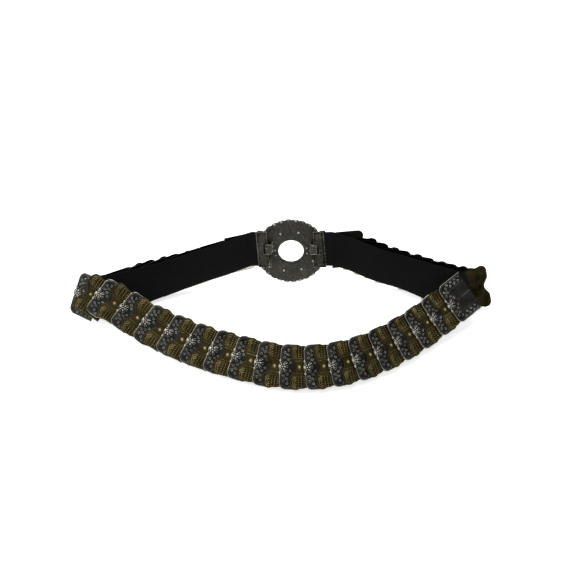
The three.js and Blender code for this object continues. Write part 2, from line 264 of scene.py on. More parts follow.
class Course:
    """The way of the band's middle line, with its frames at any distance from the left end."""

    nudge = 1e-4

    def __init__(self, stations: Sequence[Station], samples: int = 30) -> None:
        """Samples the course.

        Args:
            stations: The places that it goes through.
            samples: Samples for each stretch between two of them.
        """
        points = [s.point() for s in stations]
        ups = [s.up() for s in stations]
        count = (len(stations) - 1) * samples
        self.frames: list[Frame] = []
        self.distances: list[float] = []
        travelled = 0.0
        for i in range(count + 1):
            t = i / count
            point = through(points, t, True)
            before, after = max(0.0, t - self.nudge), min(1.0, t + self.nudge)
            ahead = through(points, after, True) - through(points, before, True)
            up = Vector(through(ups, t, False)).normalized()
            out = Vector(ahead).cross(up).normalized()
            if self.frames:
                travelled += (Vector(point) - self.frames[-1].point).length
            self.frames.append(Frame(Vector(point), up, out))
            self.distances.append(travelled)
        self.length = travelled

    def at(self, distance: float) -> Frame:
        """The frame at a distance.

        Args:
            distance: Millimetres from the left end; beyond the ends the band goes straight on.

        Returns:
            Its frame.
        """
        i = int(np.clip(np.searchsorted(self.distances, distance), 1, len(self.distances) - 1))
        a, b = self.frames[i - 1], self.frames[i]
        t = (distance - self.distances[i - 1]) / (self.distances[i] - self.distances[i - 1])
        up = a.up.lerp(b.up, t).normalized()
        out = a.out + (b.out - a.out) * t
        return Frame(a.point + (b.point - a.point) * t, up, (out - up * out.dot(up)).normalized())


class PlateLayer:
    """Lays the plates one over the other along the band."""

    across = (-1.0, -0.5, 0.0, 0.5, 1.0)
    lengthwise_steps = 19
    margin = 1.0

    def __init__(self, course: Course) -> None:
        """Works out the sample places.

        Args:
            course: The band's course.
        """
        self.course = course
        steps = self.lengthwise_steps
        self.lengthwise = [PLATE.free + i / steps * PLATE.length for i in range(steps + 1)]

    def matrix(self, frame: Frame, seat: float, tilt: float) -> Matrix:
        """Place of a plate.

        Args:
            frame: Frame of the band at its attaching line.
            seat: Height of that line over the band's middle.
            tilt: Degrees by which the free edge is tipped up.

        Returns:
            From the plate's own axes to the belt's.
        """
        rows = Matrix((frame.along, frame.up, frame.out)).transposed().to_4x4()
        rows.translation = frame.point + frame.out * seat
        return rows @ Matrix.Rotation(math.radians(tilt), 4, "Y")

    def band_above(self, distance: float, matrix: Matrix) -> float:
        """How far the band's outer face stands up through a plate's back.

        Args:
            distance: Where the plate is attached.
            matrix: The plate's place.

        Returns:
            The greatest height over the plate's back.
        """
        to_plate = matrix.inverted()
        most = -math.inf
        for x in self.lengthwise:
            f = self.course.at(distance + x)
            for y in self.across:
                face = to_plate @ (f.point + f.up * (y * BAND.width / 2) + f.out * (BAND.thick / 2))
                if PLATE.free - self.margin < face.x < PLATE.tuck + self.margin:
                    most = max(most, face.z)
        return most

    def height_over(self, matrix: Matrix, below: Matrix) -> float:
        """Least height of one plate's back above the face of the plate it lies on.

        Args:
            matrix: The upper plate's place.
            below: The lower plate's place.

        Returns:
            The least height.
        """
        to_below = below.inverted() @ matrix
        from_below = to_below.inverted()
        least = math.inf
        for x in self.lengthwise:
            for y in self.across:
                back = to_below @ Vector((x, y * PLATE.half, 0))
                if PLATE.free < back.x < PLATE.tuck:
                    least = min(least, back.z - PLATE.thick)
                face = from_below @ Vector((x, y * PLATE.half, PLATE.thick))
                if PLATE.free < face.x < PLATE.tuck:
                    least = min(least, -face.z)
        return least

    def lay(self) -> list[Matrix]:
        """Lays every plate, tipped up as far as the one before it asks.

        Returns:
            The plates' places, in order.
        """
        laid: list[Matrix] = []
        for distance in SPACING.attaching_lines():
            frame = self.course.at(distance)
            tilt = PLATE.tilt
            matrix = Matrix()
            while tilt < PLATE.most_tilt:
                above = self.band_above(distance, self.matrix(frame, BAND.thick / 2, tilt))
                matrix = self.matrix(frame, BAND.thick / 2 + above + PLATE.seat_gap, tilt)
                if not laid or self.height_over(matrix, laid[-1]) > PLATE.plate_gap:
                    break
                tilt += PLATE.tilt_step
            laid.append(matrix)
        return laid


def linear(hex_colour: str) -> tuple[float, float, float, float]:
    """Turns an sRGB hex colour to linear RGBA.

    Args:
        hex_colour: Such as "#3a3a40".

    Returns:
        Red, green, blue and alpha.
    """
    values = [int(hex_colour[i : i + 2], 16) / 255 for i in (1, 3, 5)]
    red, green, blue = (v / 12.92 if v <= 0.04045 else ((v + 0.055) / 1.055) ** 2.4 for v in values)
    return red, green, blue, 1.0


def add_node(tree: bpy.types.NodeTree, kind: str, inputs: Optional[dict] = None,
             **settings: Any) -> bpy.types.Node:
    """Adds a node with its settings, values and links.

    Args:
        tree: The tree it goes in.
        kind: Its type, without the leading ShaderNode.
        inputs: Socket name or index to a value, or to the socket it is linked from.
        **settings: Its properties.

    Returns:
        The node.
    """
    node = tree.nodes.new("ShaderNode" + kind)
    for name, value in settings.items():
        setattr(node, name, value)
    for name, value in (inputs or {}).items():
        if isinstance(value, bpy.types.NodeSocket):
            tree.links.new(value, node.inputs[name])
        else:
            node.inputs[name].default_value = value
    return node


def new_material(name: str) -> tuple[bpy.types.Material, bpy.types.NodeTree, bpy.types.Node]:
    """A bare material.

    Args:
        name: Its name.

    Returns:
        The material, its tree and its surface shader.
    """
    material = bpy.data.materials.new(name)
    material.use_nodes = True
    tree = material.node_tree
    return material, tree, tree.nodes["Principled BSDF"]


@dataclass(frozen=True)
class AntiquePlating:
    """Plated, blackened and buffed stamping: dark in the recesses, bright where the buffing wheel reached.

    The grit of the buffing is drawn coarser than it is, so that it shows.
    """

    name: str
    recess: str
    body: str
    polish: str
    rough_recess: float = 0.62
    rough_polish: float = 0.3
    rough_from: float = 0.2
    rough_to: float = 0.9
    tarnish_mm: float = 9.0
    grit_mm: float = 0.7
    uneven: float = 0.34
    speck: float = 0.3
    dark_from: float = 0.08
    dark_to: float = 0.36
    worn_from: float = 0.48
    worn_to: float = 0.86
    bump: float = 0.25
    bump_mm: float = 0.15

    def build(self) -> bpy.types.Material:
        """Makes the material.

        Returns:
            The material.
        """
        material, tree, shader = new_material(self.name)
        place = add_node(tree, "TexCoord").outputs["Object"]
        relief = add_node(tree, "Attribute", attribute_name="relief").outputs["Fac"]
        tarnish = add_node(tree, "TexNoise", {"Vector": place, "Scale": 1000 / self.tarnish_mm,
                                              "Detail": 4.0})
        grit = add_node(tree, "TexNoise", {"Vector": place, "Scale": 1000 / self.grit_mm, "Detail": 3.0})
        patches = add_node(tree, "Math", {0: tarnish.outputs["Fac"], 1: self.uneven, 2: -self.uneven / 2},
                           operation="MULTIPLY_ADD")
        speck = add_node(tree, "Math", {0: grit.outputs["Fac"], 1: self.speck, 2: -self.speck / 2},
                         operation="MULTIPLY_ADD")
        height = add_node(tree, "Math", {0: relief, 1: patches.outputs[0]}, operation="ADD")
        height = add_node(tree, "Math", {0: height.outputs[0], 1: speck.outputs[0]}, operation="ADD")
        low = add_node(tree, "MapRange", {"Value": height.outputs[0], "From Min": self.dark_from,
                                          "From Max": self.dark_to}, interpolation_type="SMOOTHSTEP")
        high = add_node(tree, "MapRange", {"Value": height.outputs[0], "From Min": self.worn_from,
                                           "From Max": self.worn_to}, interpolation_type="SMOOTHSTEP")
        dark = add_node(tree, "Mix", {0: low.outputs[0], 6: linear(self.recess), 7: linear(self.body)},
                        data_type="RGBA")
        colour = add_node(tree, "Mix", {0: high.outputs[0], 6: dark.outputs[2], 7: linear(self.polish)},
                          data_type="RGBA")
        rough = add_node(tree, "MapRange", {"Value": height.outputs[0], "From Min": self.rough_from,
                                            "From Max": self.rough_to, "To Min": self.rough_recess,
                                            "To Max": self.rough_polish})
        bump = add_node(tree, "Bump", {"Strength": self.bump, "Distance": self.bump_mm * MM,
                                       "Height": grit.outputs["Fac"]})
        tree.links.new(colour.outputs[2], shader.inputs["Base Color"])
        tree.links.new(rough.outputs[0], shader.inputs["Roughness"])
        tree.links.new(bump.outputs[0], shader.inputs["Normal"])
        shader.inputs["Metallic"].default_value = 1.0
        return material


@dataclass(frozen=True)
class SandCasting:
    """Zinc alloy as cast, blackened and left rough: fine pits, a dull grey bloom and worn, bright crests; the
    same worn colour serves for the highlights painted on the rim's scallop tips.

    The pits are drawn coarser than the sand leaves them, so that they show.
    """

    name: str
    pit: str
    body: str
    worn: str
    pit_mm: float = 0.9
    pits: tuple[float, float] = (0.35, 0.68)
    bloom_mm: float = 14.0
    bloom: float = 0.5
    worn_from: float = 0.55
    worn_to: float = 1.25
    rough_pit: float = 0.62
    rough_face: float = 0.42
    bump: float = 0.6
    bump_mm: float = 0.25

    def build(self) -> bpy.types.Material:
        """Makes the material.

        Returns:
            The material.
        """
        material, tree, shader = new_material(self.name)
        place = add_node(tree, "TexCoord").outputs["Object"]
        relief = add_node(tree, "Attribute", attribute_name="relief").outputs["Fac"]
        pits = add_node(tree, "TexNoise", {"Vector": place, "Scale": 1000 / self.pit_mm, "Detail": 5.0,
                                           "Roughness": 0.65})
        bloom = add_node(tree, "TexNoise", {"Vector": place, "Scale": 1000 / self.bloom_mm, "Detail": 3.0})
        grain = add_node(tree, "MapRange", {"Value": pits.outputs["Fac"], "From Min": self.pits[0],
                                            "From Max": self.pits[1]}, interpolation_type="SMOOTHSTEP")
        base = add_node(tree, "Mix", {0: grain.outputs[0], 6: linear(self.pit), 7: linear(self.body)},
                        data_type="RGBA")
        lifted = add_node(tree, "Math", {0: bloom.outputs["Fac"], 1: self.bloom, 2: relief},
                          operation="MULTIPLY_ADD")
        worn = add_node(tree, "MapRange", {"Value": lifted.outputs[0], "From Min": self.worn_from,
                                           "From Max": self.worn_to}, interpolation_type="SMOOTHSTEP")
        colour = add_node(tree, "Mix", {0: worn.outputs[0], 6: base.outputs[2], 7: linear(self.worn)},
                          data_type="RGBA")
        rough = add_node(tree, "MapRange", {"Value": pits.outputs["Fac"], "From Min": 0.3, "From Max": 0.7,
                                            "To Min": self.rough_pit, "To Max": self.rough_face})
        bump = add_node(tree, "Bump", {"Strength": self.bump, "Distance": self.bump_mm * MM,
                                       "Height": pits.outputs["Fac"]})
        tree.links.new(colour.outputs[2], shader.inputs["Base Color"])
        tree.links.new(rough.outputs[0], shader.inputs["Roughness"])
        tree.links.new(bump.outputs[0], shader.inputs["Normal"])
        shader.inputs["Metallic"].default_value = 1.0
        return material


@dataclass(frozen=True)
class WovenElastic:
    """Black polyester elastic: rubber cords under fine ribs of yarn, with a low textile sheen.

    The ribs and the weft are drawn about twice as coarse as they are, so that they show.
    """

    name: str = "black_woven_elastic"
    yarn: str = "#101011"
    gap: str = "#040404"
    rib_mm: float = 1.5
    weft_mm: float = 0.9
    crossing: float = 0.3
    fuzz_mm: float = 6.0
    fuzz: float = 0.6
    weave_span: float = 1.1
    blend_from: float = 0.3
    blend_to: float = 1.3
    bump: float = 0.5
    bump_mm: float = 0.2
    roughness: float = 0.85
    specular: float = 0.1

    def build(self) -> bpy.types.Material:
        """Makes the material.

        Returns:
            The material.
        """
        material, tree, shader = new_material(self.name)
        along = add_node(tree, "Attribute", attribute_name="along").outputs["Fac"]
        across = add_node(tree, "Attribute", attribute_name="across").outputs["Fac"]
        waves = []
        for value, pitch in ((across, self.rib_mm), (along, self.weft_mm)):
            turn = add_node(tree, "Math", {0: value, 1: 2 * math.pi / pitch}, operation="MULTIPLY")
            waves.append(add_node(tree, "Math", {0: turn.outputs[0]}, operation="SINE").outputs[0])
        both = add_node(tree, "Math", {0: waves[0], 1: waves[1]}, operation="MULTIPLY")
        weave = add_node(tree, "Math", {0: both.outputs[0], 1: self.crossing, 2: waves[0]},
                         operation="MULTIPLY_ADD")
        level = add_node(tree, "MapRange", {"Value": weave.outputs[0], "From Min": -self.weave_span,
                                            "From Max": self.weave_span})
        place = add_node(tree, "TexCoord").outputs["Object"]
        fuzz = add_node(tree, "TexNoise", {"Vector": place, "Scale": 1000 / self.fuzz_mm, "Detail": 6.0,
                                           "Roughness": 0.7})
        shade = add_node(tree, "Math", {0: fuzz.outputs["Fac"], 1: self.fuzz, 2: level.outputs[0]},
                         operation="MULTIPLY_ADD")
        blend = add_node(tree, "MapRange", {"Value": shade.outputs[0], "From Min": self.blend_from,
                                            "From Max": self.blend_to})
        colour = add_node(tree, "Mix", {0: blend.outputs[0], 6: linear(self.gap), 7: linear(self.yarn)},
                          data_type="RGBA")
        bump = add_node(tree, "Bump", {"Strength": self.bump, "Distance": self.bump_mm * MM,
                                       "Height": level.outputs[0]})
        tree.links.new(colour.outputs[2], shader.inputs["Base Color"])
        tree.links.new(bump.outputs[0], shader.inputs["Normal"])
        shader.inputs["Roughness"].default_value = self.roughness
        shader.inputs["Specular IOR Level"].default_value = self.specular
        return material


@dataclass(frozen=True)
class LightTable:
    """Opal white acrylic, lit a little from below: it swallows the shadows round the belt."""

    name: str = "opal_acrylic_table"
    colour: str = "#f6f6f6"
    glow: float = 0.62
    tooth_mm: float = 10 / 9
    bump: float = 0.03
    bump_mm: float = 0.2
    roughness: float = 0.95

    def build(self) -> bpy.types.Material:
        """Makes the material.

        Returns:
            The material.
        """
        material, tree, shader = new_material(self.name)
        place = add_node(tree, "TexCoord").outputs["Object"]
        tooth = add_node(tree, "TexNoise", {"Vector": place, "Scale": 1000 / self.tooth_mm, "Detail": 2.0})
        bump = add_node(tree, "Bump", {"Strength": self.bump, "Distance": self.bump_mm * MM,
                                       "Height": tooth.outputs["Fac"]})
        tree.links.new(bump.outputs[0], shader.inputs["Normal"])
        shader.inputs["Base Color"].default_value = linear(self.colour)
        shader.inputs["Emission Color"].default_value = (1, 1, 1, 1)
        shader.inputs["Emission Strength"].default_value = self.glow
        shader.inputs["Roughness"].default_value = self.roughness
        return material


class Finish(Enum):
    """The belt's finishes."""

    SILVER = AntiquePlating("antique_silver_plate", "#0a0a09", "#353533", "#b3b0a5")
    BRASS = AntiquePlating("antique_brass_plate", "#0f0c06", "#3d361f", "#b3a374")
    # The casting's worn colour also paints the highlights on the tips of the disc's scallops.
    CASTING = SandCasting("blackened_zinc_casting", "#2a2a27", "#504f48", "#bdbbb1")
    CLAMP = AntiquePlating("blackened_steel_sheet", "#11110e", "#43423a", "#a09d90", grit_mm=1.6, uneven=0.7,
                           speck=0.8)
    ELASTIC = WovenElastic()


def smooth(low: float, high: float, value: np.ndarray) -> np.ndarray:
    """Smooth step from 0 at low to 1 at high.

    Args:
        low: Where it starts.
        high: Where it ends.
        value: The values to map.

    Returns:
        The mapped values.
    """
    t = np.clip((value - low) / (high - low), 0, 1)
    return t * t * (3 - 2 * t)


def ridge(distance: np.ndarray, width: float) -> np.ndarray:
    """Round ridge over a line.

    Args:
        distance: Distance from the line.
        width: Width at half its height.

    Returns:
        1 on the line, falling to 0.
    """
    # 0.6 of the width makes it fall to a half at half the width from the line.
    return np.exp(-((distance / (0.6 * width)) ** 2))


def dome(distance: np.ndarray, radius: float) -> np.ndarray:
    """Half ball.

    Args:
        distance: Distance from its middle.
        radius: Its radius.

    Returns:
        1 in the middle, 0 from the radius on.
    """
    return np.sqrt(np.clip(1 - (distance / radius) ** 2, 0, 1))


def wave(value: np.ndarray, pitch: float) -> np.ndarray:
    """Even wave between 0 and 1.

    Args:
        value: Distance along it.
        pitch: Distance between two crests.

    Returns:
        1 on the crests.
    """
    return 0.5 + 0.5 * np.cos(2 * np.pi * value / pitch)


def to_line(points: np.ndarray, x: np.ndarray, y: np.ndarray) -> np.ndarray:
    """Distance from a chain of points.

    Args:
        points: The chain, one row for each point.
        x: First coordinates of the places asked for.
        y: Their second coordinates.

    Returns:
        Each place's distance from the chain.
    """
    best = np.full(x.shape, 1e9)
    for (ax, ay), (bx, by) in zip(points[:-1], points[1:]):
        dx, dy = bx - ax, by - ay
        t = np.clip(((x - ax) * dx + (y - ay) * dy) / (dx * dx + dy * dy + 1e-12), 0, 1)
        best = np.minimum(best, np.hypot(x - ax - t * dx, y - ay - t * dy))
    return best


@dataclass(frozen=True)
class Line:
    """A raised line of a pattern, or a sunk one, at an even distance from an edge."""

    at: float
    width: float
    rise: float

    def over(self, distance: np.ndarray) -> np.ndarray:
        """Height that it adds at each distance from the edge."""
        return self.rise * ridge(distance - self.at, self.width)


@dataclass(frozen=True)
class Scroll:
    """A spiral stroke of the engraving, wound from its outer end to its eye."""

    x: float
    y: float
    outer: float
    start: float
    turns: float
    inner: float = 0.35
    tightening: float = 0.8
    samples_per_turn: int = 18
    fewest_samples: int = 8

    def points(self) -> np.ndarray:
        """The stroke.

        Returns:
            Its points, one row each.
        """
        t = np.linspace(0, 1, max(self.fewest_samples, int(abs(self.turns) * self.samples_per_turn)))
        angle = math.radians(self.start) + t * self.turns * 2 * math.pi
        radius = self.outer + (self.inner - self.outer) * t**self.tightening
        return np.stack((self.x + radius * np.cos(angle), self.y + radius * np.sin(angle)), axis=1)


@dataclass(frozen=True)
class PlateGrid:
    """How finely a plate's face is divided, and how its covered end and its lower rim are treated.

    Attributes:
        shown: Divisions from the free edge to shown_to.
        covered: Divisions from there to the tucked edge, which the next plate covers.
        rows: Divisions across the band.
        shown_to: x at which the finely divided part ends.
        fades: True lets the pattern die out there.
        drawn_in: Share of the height by which the covered end is cut back, out of its neighbour's way.
        lower_wall_level: Level of the lower half of the walls and back; on the front plates it is as dark as
            the painted shade above it.
    """

    shown: int = 53
    covered: int = 7
    rows: int = 124
    shown_to: float = -7.0
    fades: bool = True
    drawn_in: float = 0.0
    lower_wall_level: float = 0.02


def finished(bm: bmesh.types.BMesh, name: str, crease: float) -> bpy.types.Mesh:
    """Turns a bmesh to a smooth mesh with its creases kept.

    Args:
        bm: The shape; it is freed.
        name: The mesh's name.
        crease: Degrees from which an edge is kept sharp.

    Returns:
        The mesh.
    """
    bmesh.ops.recalc_face_normals(bm, faces=bm.faces[:])
    mesh = bpy.data.meshes.new(name)
    bm.to_mesh(mesh)
    bm.free()
    mesh.shade_smooth()
    mesh.set_sharp_from_angle(angle=math.radians(crease))
    return mesh


@dataclass
class StampedPlate:
    """A plate stamped from sheet. Its face is a grid fitted to the outline and raised by the pattern.

    Attributes:
        grid: How fine it is.
        both_sides: True presses the pattern through to the back as well.
        base: Height of the flat face.
        deepest: How far the pattern may sink below it.
        highest: Height over it at which the metal is fully polished.
        tallest: How far the pattern may stand over it.
        bunching: How much closer the rows lie near the two ends of the plate.
        back_soft: Share of the face's height that the pressed back follows.
        back_sunk: Height of the face that gives a back at 0.
        painted_shade_level: Level of the upper half of the walls and of the back: painted shade, drawn near
            black.
    """

    grid: PlateGrid
    both_sides: bool = False
    base: float = 0.72
    deepest: float = 0.2
    highest: float = 0.62
    tallest: float = 1.3
    bunching: float = 0.2
    pattern_fade: float = 0.8
    tuck_margin: float = 3.0
    drawn_in_over: tuple[float, float] = (11.0, 20.0)
    back_soft: float = 0.55
    back_sunk: float = 0.45
    back_level: float = 0.33
    back_fall: float = 0.32
    painted_shade_level: float = 0.02
    crease: float = 62.0
    edge_samples: int = 141
    side_samples: int = 30
    mesh: bpy.types.Mesh = field(init=False)

    def __post_init__(self) -> None:
        """Makes the plate's mesh, about its own axes."""
        self.mesh = self._shape()

    def left_edge(self, y: np.ndarray) -> np.ndarray:
        """x of the free edge at each height y."""
        raise NotImplementedError

    def squeeze(self, x: np.ndarray) -> np.ndarray:
        """Share of the full height that the plate has at x: a covered end is drawn in."""
        start, end = self.drawn_in_over
        return 1 - self.grid.drawn_in * smooth(PLATE.free + start, PLATE.free + end, x)

    def relief(self, t: np.ndarray, a: np.ndarray, d: np.ndarray) -> np.ndarray:
        """Height of the pattern.

        Args:
            t: Distance from the line of the free edge.
            a: Distance from the plate's middle, across the band.
            d: Distance from the outline.

        Returns:
            Height over the sheet's face, in millimetres.
        """
        raise NotImplementedError

    def _shape(self) -> bpy.types.Mesh:
        """Builds the mesh.

        Returns:
            The mesh, in millimetres.
        """
        g = self.grid
        bm = bmesh.new()
        bmesh.ops.create_grid(bm, x_segments=g.shown + g.covered, y_segments=g.rows, size=0.5)
        coords = np.array([v.co[:] for v in bm.verts])
        s = 2 * coords[:, 1]
        y = PLATE.half * ((1 - self.bunching) * s + self.bunching * np.sin(s * math.pi / 2))
        u = (coords[:, 0] + 0.5) * (g.shown + g.covered)
        left = self.left_edge(y)
        shown = left + (g.shown_to - left) * np.clip(u / g.shown, 0, 1)
        covered = g.shown_to + (PLATE.tuck - g.shown_to) * (u - g.shown) / max(1, g.covered)
        x = np.where(u <= g.shown, shown, covered)
        y = y * self.squeeze(x)
        t, a = x - PLATE.free, np.abs(y)
        d = np.minimum(self._from_outline(x, y), PLATE.tuck - x + self.tuck_margin)
        height = np.clip(self.relief(t, a, d), -self.deepest, self.tallest)
        worn = (height + self.deepest) / (self.deepest + self.highest)
        if g.fades:
            height = height * smooth(g.shown_to, g.shown_to - self.pattern_fade, x)
        level = bm.verts.layers.float.new("relief")
        for v, px, py, h, share in zip(bm.verts, x, y, height, worn):
            v.co = (px, py, self.base + h)
            v[level] = float(share)
        if self.both_sides:
            self._press_back(bm, level)
        else:
            self._close_back(bm, level, g.lower_wall_level)
        return finished(bm, "plate", self.crease)

    def _from_outline(self, x: np.ndarray, y: np.ndarray) -> np.ndarray:
        """Distance of each place from the outline's shown sides.

        Args:
            x: First coordinates.
            y: Second coordinates.

        Returns:
            The distances.
        """
        ys = np.linspace(-PLATE.half, PLATE.half, self.edge_samples)
        xs = self.left_edge(ys)
        top = np.linspace(xs[-1], PLATE.tuck, self.side_samples)
        half = PLATE.half * self.squeeze(top)
        lower = np.stack((top[::-1], -half[::-1]), axis=1)
        upper = np.stack((top, half), axis=1)
        return to_line(np.concatenate((lower, np.stack((xs, ys), axis=1), upper)), x, y)

    def _close_back(self, bm: bmesh.types.BMesh, level: Any, lower_wall_level: float) -> None:
        """Gives the face walls and a flat back; the upper half of the walls and the back get painted shade.

        Args:
            bm: The face.
            level: The layer that holds how high the metal stands.
            lower_wall_level: Level of the lower half of the walls and back.
        """
        rim = [e for e in bm.edges if e.is_boundary]
        made = bmesh.ops.extrude_edge_only(bm, edges=rim)["geom"]
        for v in made:
            if isinstance(v, bmesh.types.BMVert):
                v.co.z = 0.0
                # Painted shade: the upper half of the walls and the back are drawn near black; the lower half
                # takes its own level.
                v[level] = lower_wall_level if v.co.y < 0 else self.painted_shade_level
        bmesh.ops.edgeloop_fill(bm, edges=[e for e in bm.edges if e.is_boundary])

    def _press_back(self, bm: bmesh.types.BMesh, level: Any) -> None:
        """Gives the face walls and a back that follows it, hollow where the face is raised.

        Args:
            bm: The face.
            level: The layer that holds how high the metal stands.
        """
        made = bmesh.ops.extrude_face_region(bm, geom=bm.faces[:])["geom"]
        for v in made:
            if isinstance(v, bmesh.types.BMVert):
                v.co.z = self.back_soft * (v.co.z - self.back_sunk)
                v[level] = self.back_level - self.back_fall * v[level]


@dataclass(frozen=True)
class Palmette:
    """A fan of hollow petals behind the beads. Each pair says where something begins and where it is full."""

    centre: float = 1.0
    step: float = 40.0
    flank: tuple[float, float] = (0.25, 0.6)
    hollow: tuple[float, float] = (0.72, 0.92)
    hollow_from: tuple[float, float] = (3.6, 4.4)
    hollow_depth: float = 0.75
    root: tuple[float, float] = (2.2, 2.8)
    tip: tuple[float, float] = (7.2, 6.6)
    pointed: float = 1.6
    side: tuple[float, float] = (5.4, 4.6)

    def strength(self, t: np.ndarray, a: np.ndarray) -> np.ndarray:
        """The petals.

        Args:
            t: Distance from the line of the free edge.
            a: Distance from the plate's middle.

        Returns:
            1 on the crest of a petal, 0 between two.
        """
        r = np.hypot(t - self.centre, a)
        turn = np.degrees(np.arctan2(a, t - self.centre))
        petal = wave(turn, self.step)
        hollow = smooth(*self.hollow, petal)
        outline = smooth(*self.flank, petal) * (1 - self.hollow_depth * hollow * smooth(*self.hollow_from, r))
        tips = smooth(*self.tip, r + self.pointed * (1 - petal))
        return np.clip(smooth(*self.root, r) * tips * outline, 0, 1) * smooth(*self.side, a)


@dataclass
class SilverPlate(StampedPlate):
    """Rounded plate: double rim, scroll border, two sunk panels, and a cluster of beads on its free edge.

    Each leaf is its place and radius, and each bead its place, radius and height. Where two numbers stand
    together, a part of the pattern begins at the first and is full at the second.
    """

    corner: float = 6.0
    knob_reach: float = 1.3
    knob_half: float = 3.0
    wing: tuple[float, ...] = (5.2, 1.3, 0.8)
    border: float = 8.4
    bulge: float = 2.9
    bulge_half: float = 9.5
    side_band: float = 8.4
    rim: Line = Line(0.4, 0.44, 0.6)
    groove: Line = Line(1.05, 0.6, -0.18)
    milling: Line = Line(1.7, 0.5, 0.42)
    milling_pitch: float = 1.9
    milling_low: float = 0.4
    inside_rim: tuple[float, float] = (2.0, 2.4)
    panel_rim: Line = Line(0.0, 0.5, 0.3)
    midrib: float = 0.24
    midrib_end: tuple[float, float] = (0.5, 0.9)
    midrib_side: tuple[float, float] = (1.15, 0.75)
    panel: float = 0.03
    panel_edge: tuple[float, float] = (0.3, 0.7)
    panel_middle: tuple[float, float] = (0.9, 1.2)
    lace: float = 0.74
    lace_sunk: float = 0.23
    lace_end: tuple[float, float] = (-0.3, -0.7)
    stroke: float = 0.46
    leaf: float = 0.6
    leaf_spread: tuple[float, float] = (0.95, 0.2)
    beside_palmette: tuple[float, float] = (4.6, 5.4)
    behind_palmette: tuple[float, float] = (7.2, 7.8)
    palmette: Palmette = Palmette()
    scrolls: tuple[Scroll, ...] = (
        Scroll(3.7, 8.3, 1.45, 200, 1.1), Scroll(6.8, 6.5, 1.4, 20, -1.1),
        Scroll(6.6, 10.3, 1.45, 160, 1.1), Scroll(3.8, 12.2, 1.4, 330, -1.1),
        Scroll(6.9, 14.1, 1.45, 250, 1.1), Scroll(9.3, 3.4, 1.3, 90, 1.1),
        Scroll(9.9, 15.9, 1.3, 180, -1.1), Scroll(12.5, 13.1, 1.4, 0, 1.1),
        Scroll(14.9, 16.0, 1.3, 180, -1.1), Scroll(17.3, 13.1, 1.4, 0, 1.1),
        Scroll(19.7, 16.0, 1.3, 180, -1.1), Scroll(22.1, 13.1, 1.4, 0, 1.1),
        Scroll(24.5, 16.0, 1.3, 180, -1.1),
    )
    leaves: tuple[tuple[float, ...], ...] = (
        (5.0, 8.6, 0.5), (2.6, 10.3, 0.5), (5.2, 12.3, 0.5), (5.0, 15.9, 0.6), (8.1, 8.4, 0.5),
        (8.2, 12.2, 0.55), (8.3, 16.9, 0.5), (9.7, 0.0, 0.8), (10.0, 13.2, 0.55), (12.4, 16.6, 0.55),
        (14.9, 13.1, 0.55), (17.3, 16.6, 0.55), (19.7, 13.1, 0.55), (22.1, 16.6, 0.55), (24.6, 13.1, 0.55),
    )
    beads: tuple[tuple[float, ...], ...] = (
        (0.3, 0.0, 1.15, 1.0), (2.4, 0.0, 0.7, 0.75), (1.5, 1.8, 0.65, 0.7), (3.4, 1.5, 0.5, 0.6),
        (0.9, 3.2, 0.5, 0.6), (0.2, 5.2, 0.95, 0.85),
    )

    def left_edge(self, y: np.ndarray) -> np.ndarray:
        """x of the free edge: rounded corners, the knob in the middle and a small wing on each side of it."""
        a = np.abs(y)
        over = np.clip(a - (PLATE.half - self.corner), 0, self.corner)
        edge = PLATE.free + self.corner - np.sqrt(np.maximum(self.corner**2 - over**2, 0))
        at, half, reach = self.wing
        lobes = self.knob_reach * np.clip(1 - (a / self.knob_half) ** 2, 0, 1)
        return edge - lobes - reach * np.clip(1 - ((a - at) / half) ** 2, 0, 1)

    def relief(self, t: np.ndarray, a: np.ndarray, d: np.ndarray) -> np.ndarray:
        """Height of the pattern, as the plate's class describes."""
        inner = self.border + self.bulge * np.clip(1 - (a / self.bulge_half) ** 2, 0, 1)
        into_panel = np.minimum(t - inner, PLATE.half - self.side_band - a)
        inside = smooth(*self.inside_rim, d)
        milled = self.milling_low + (1 - self.milling_low) * wave(a + t, self.milling_pitch)
        height = self.rim.over(d) + self.groove.over(d)
        height += self.milling.over(d) * milled
        height += self.panel_rim.over(into_panel) * inside
        height += self.midrib * smooth(*self.midrib_end, into_panel) * smooth(*self.midrib_side, a)
        height += self.panel * smooth(*self.panel_edge, into_panel) * smooth(*self.panel_middle, a)
        drawn = np.maximum(self._strokes(t, a), self.palmette.strength(t, a))
        height += inside * smooth(*self.lace_end, into_panel) * (self.lace * drawn - self.lace_sunk)
        for x, y, r, rise in self.beads:
            height = np.maximum(height, rise * dome(np.hypot(t - x, a - y), r))
        return height

    def _strokes(self, t: np.ndarray, a: np.ndarray) -> np.ndarray:
        """The scrolls and the leaves between them.

        Args:
            t: Distance from the line of the free edge.
            a: Distance from the plate's middle.

        Returns:
            1 on a stroke, 0 beside it.
        """
        stroke = np.zeros_like(t)
        for s in self.scrolls:
            stroke = np.maximum(stroke, ridge(to_line(s.points(), t, a), self.stroke))
        outer, inner = self.leaf_spread
        for x, y, r in self.leaves:
            stroke = np.maximum(stroke, self.leaf * smooth(outer * r, inner * r, np.hypot(t - x, a - y)))
        return stroke * np.maximum(smooth(*self.beside_palmette, a), smooth(*self.behind_palmette, t))


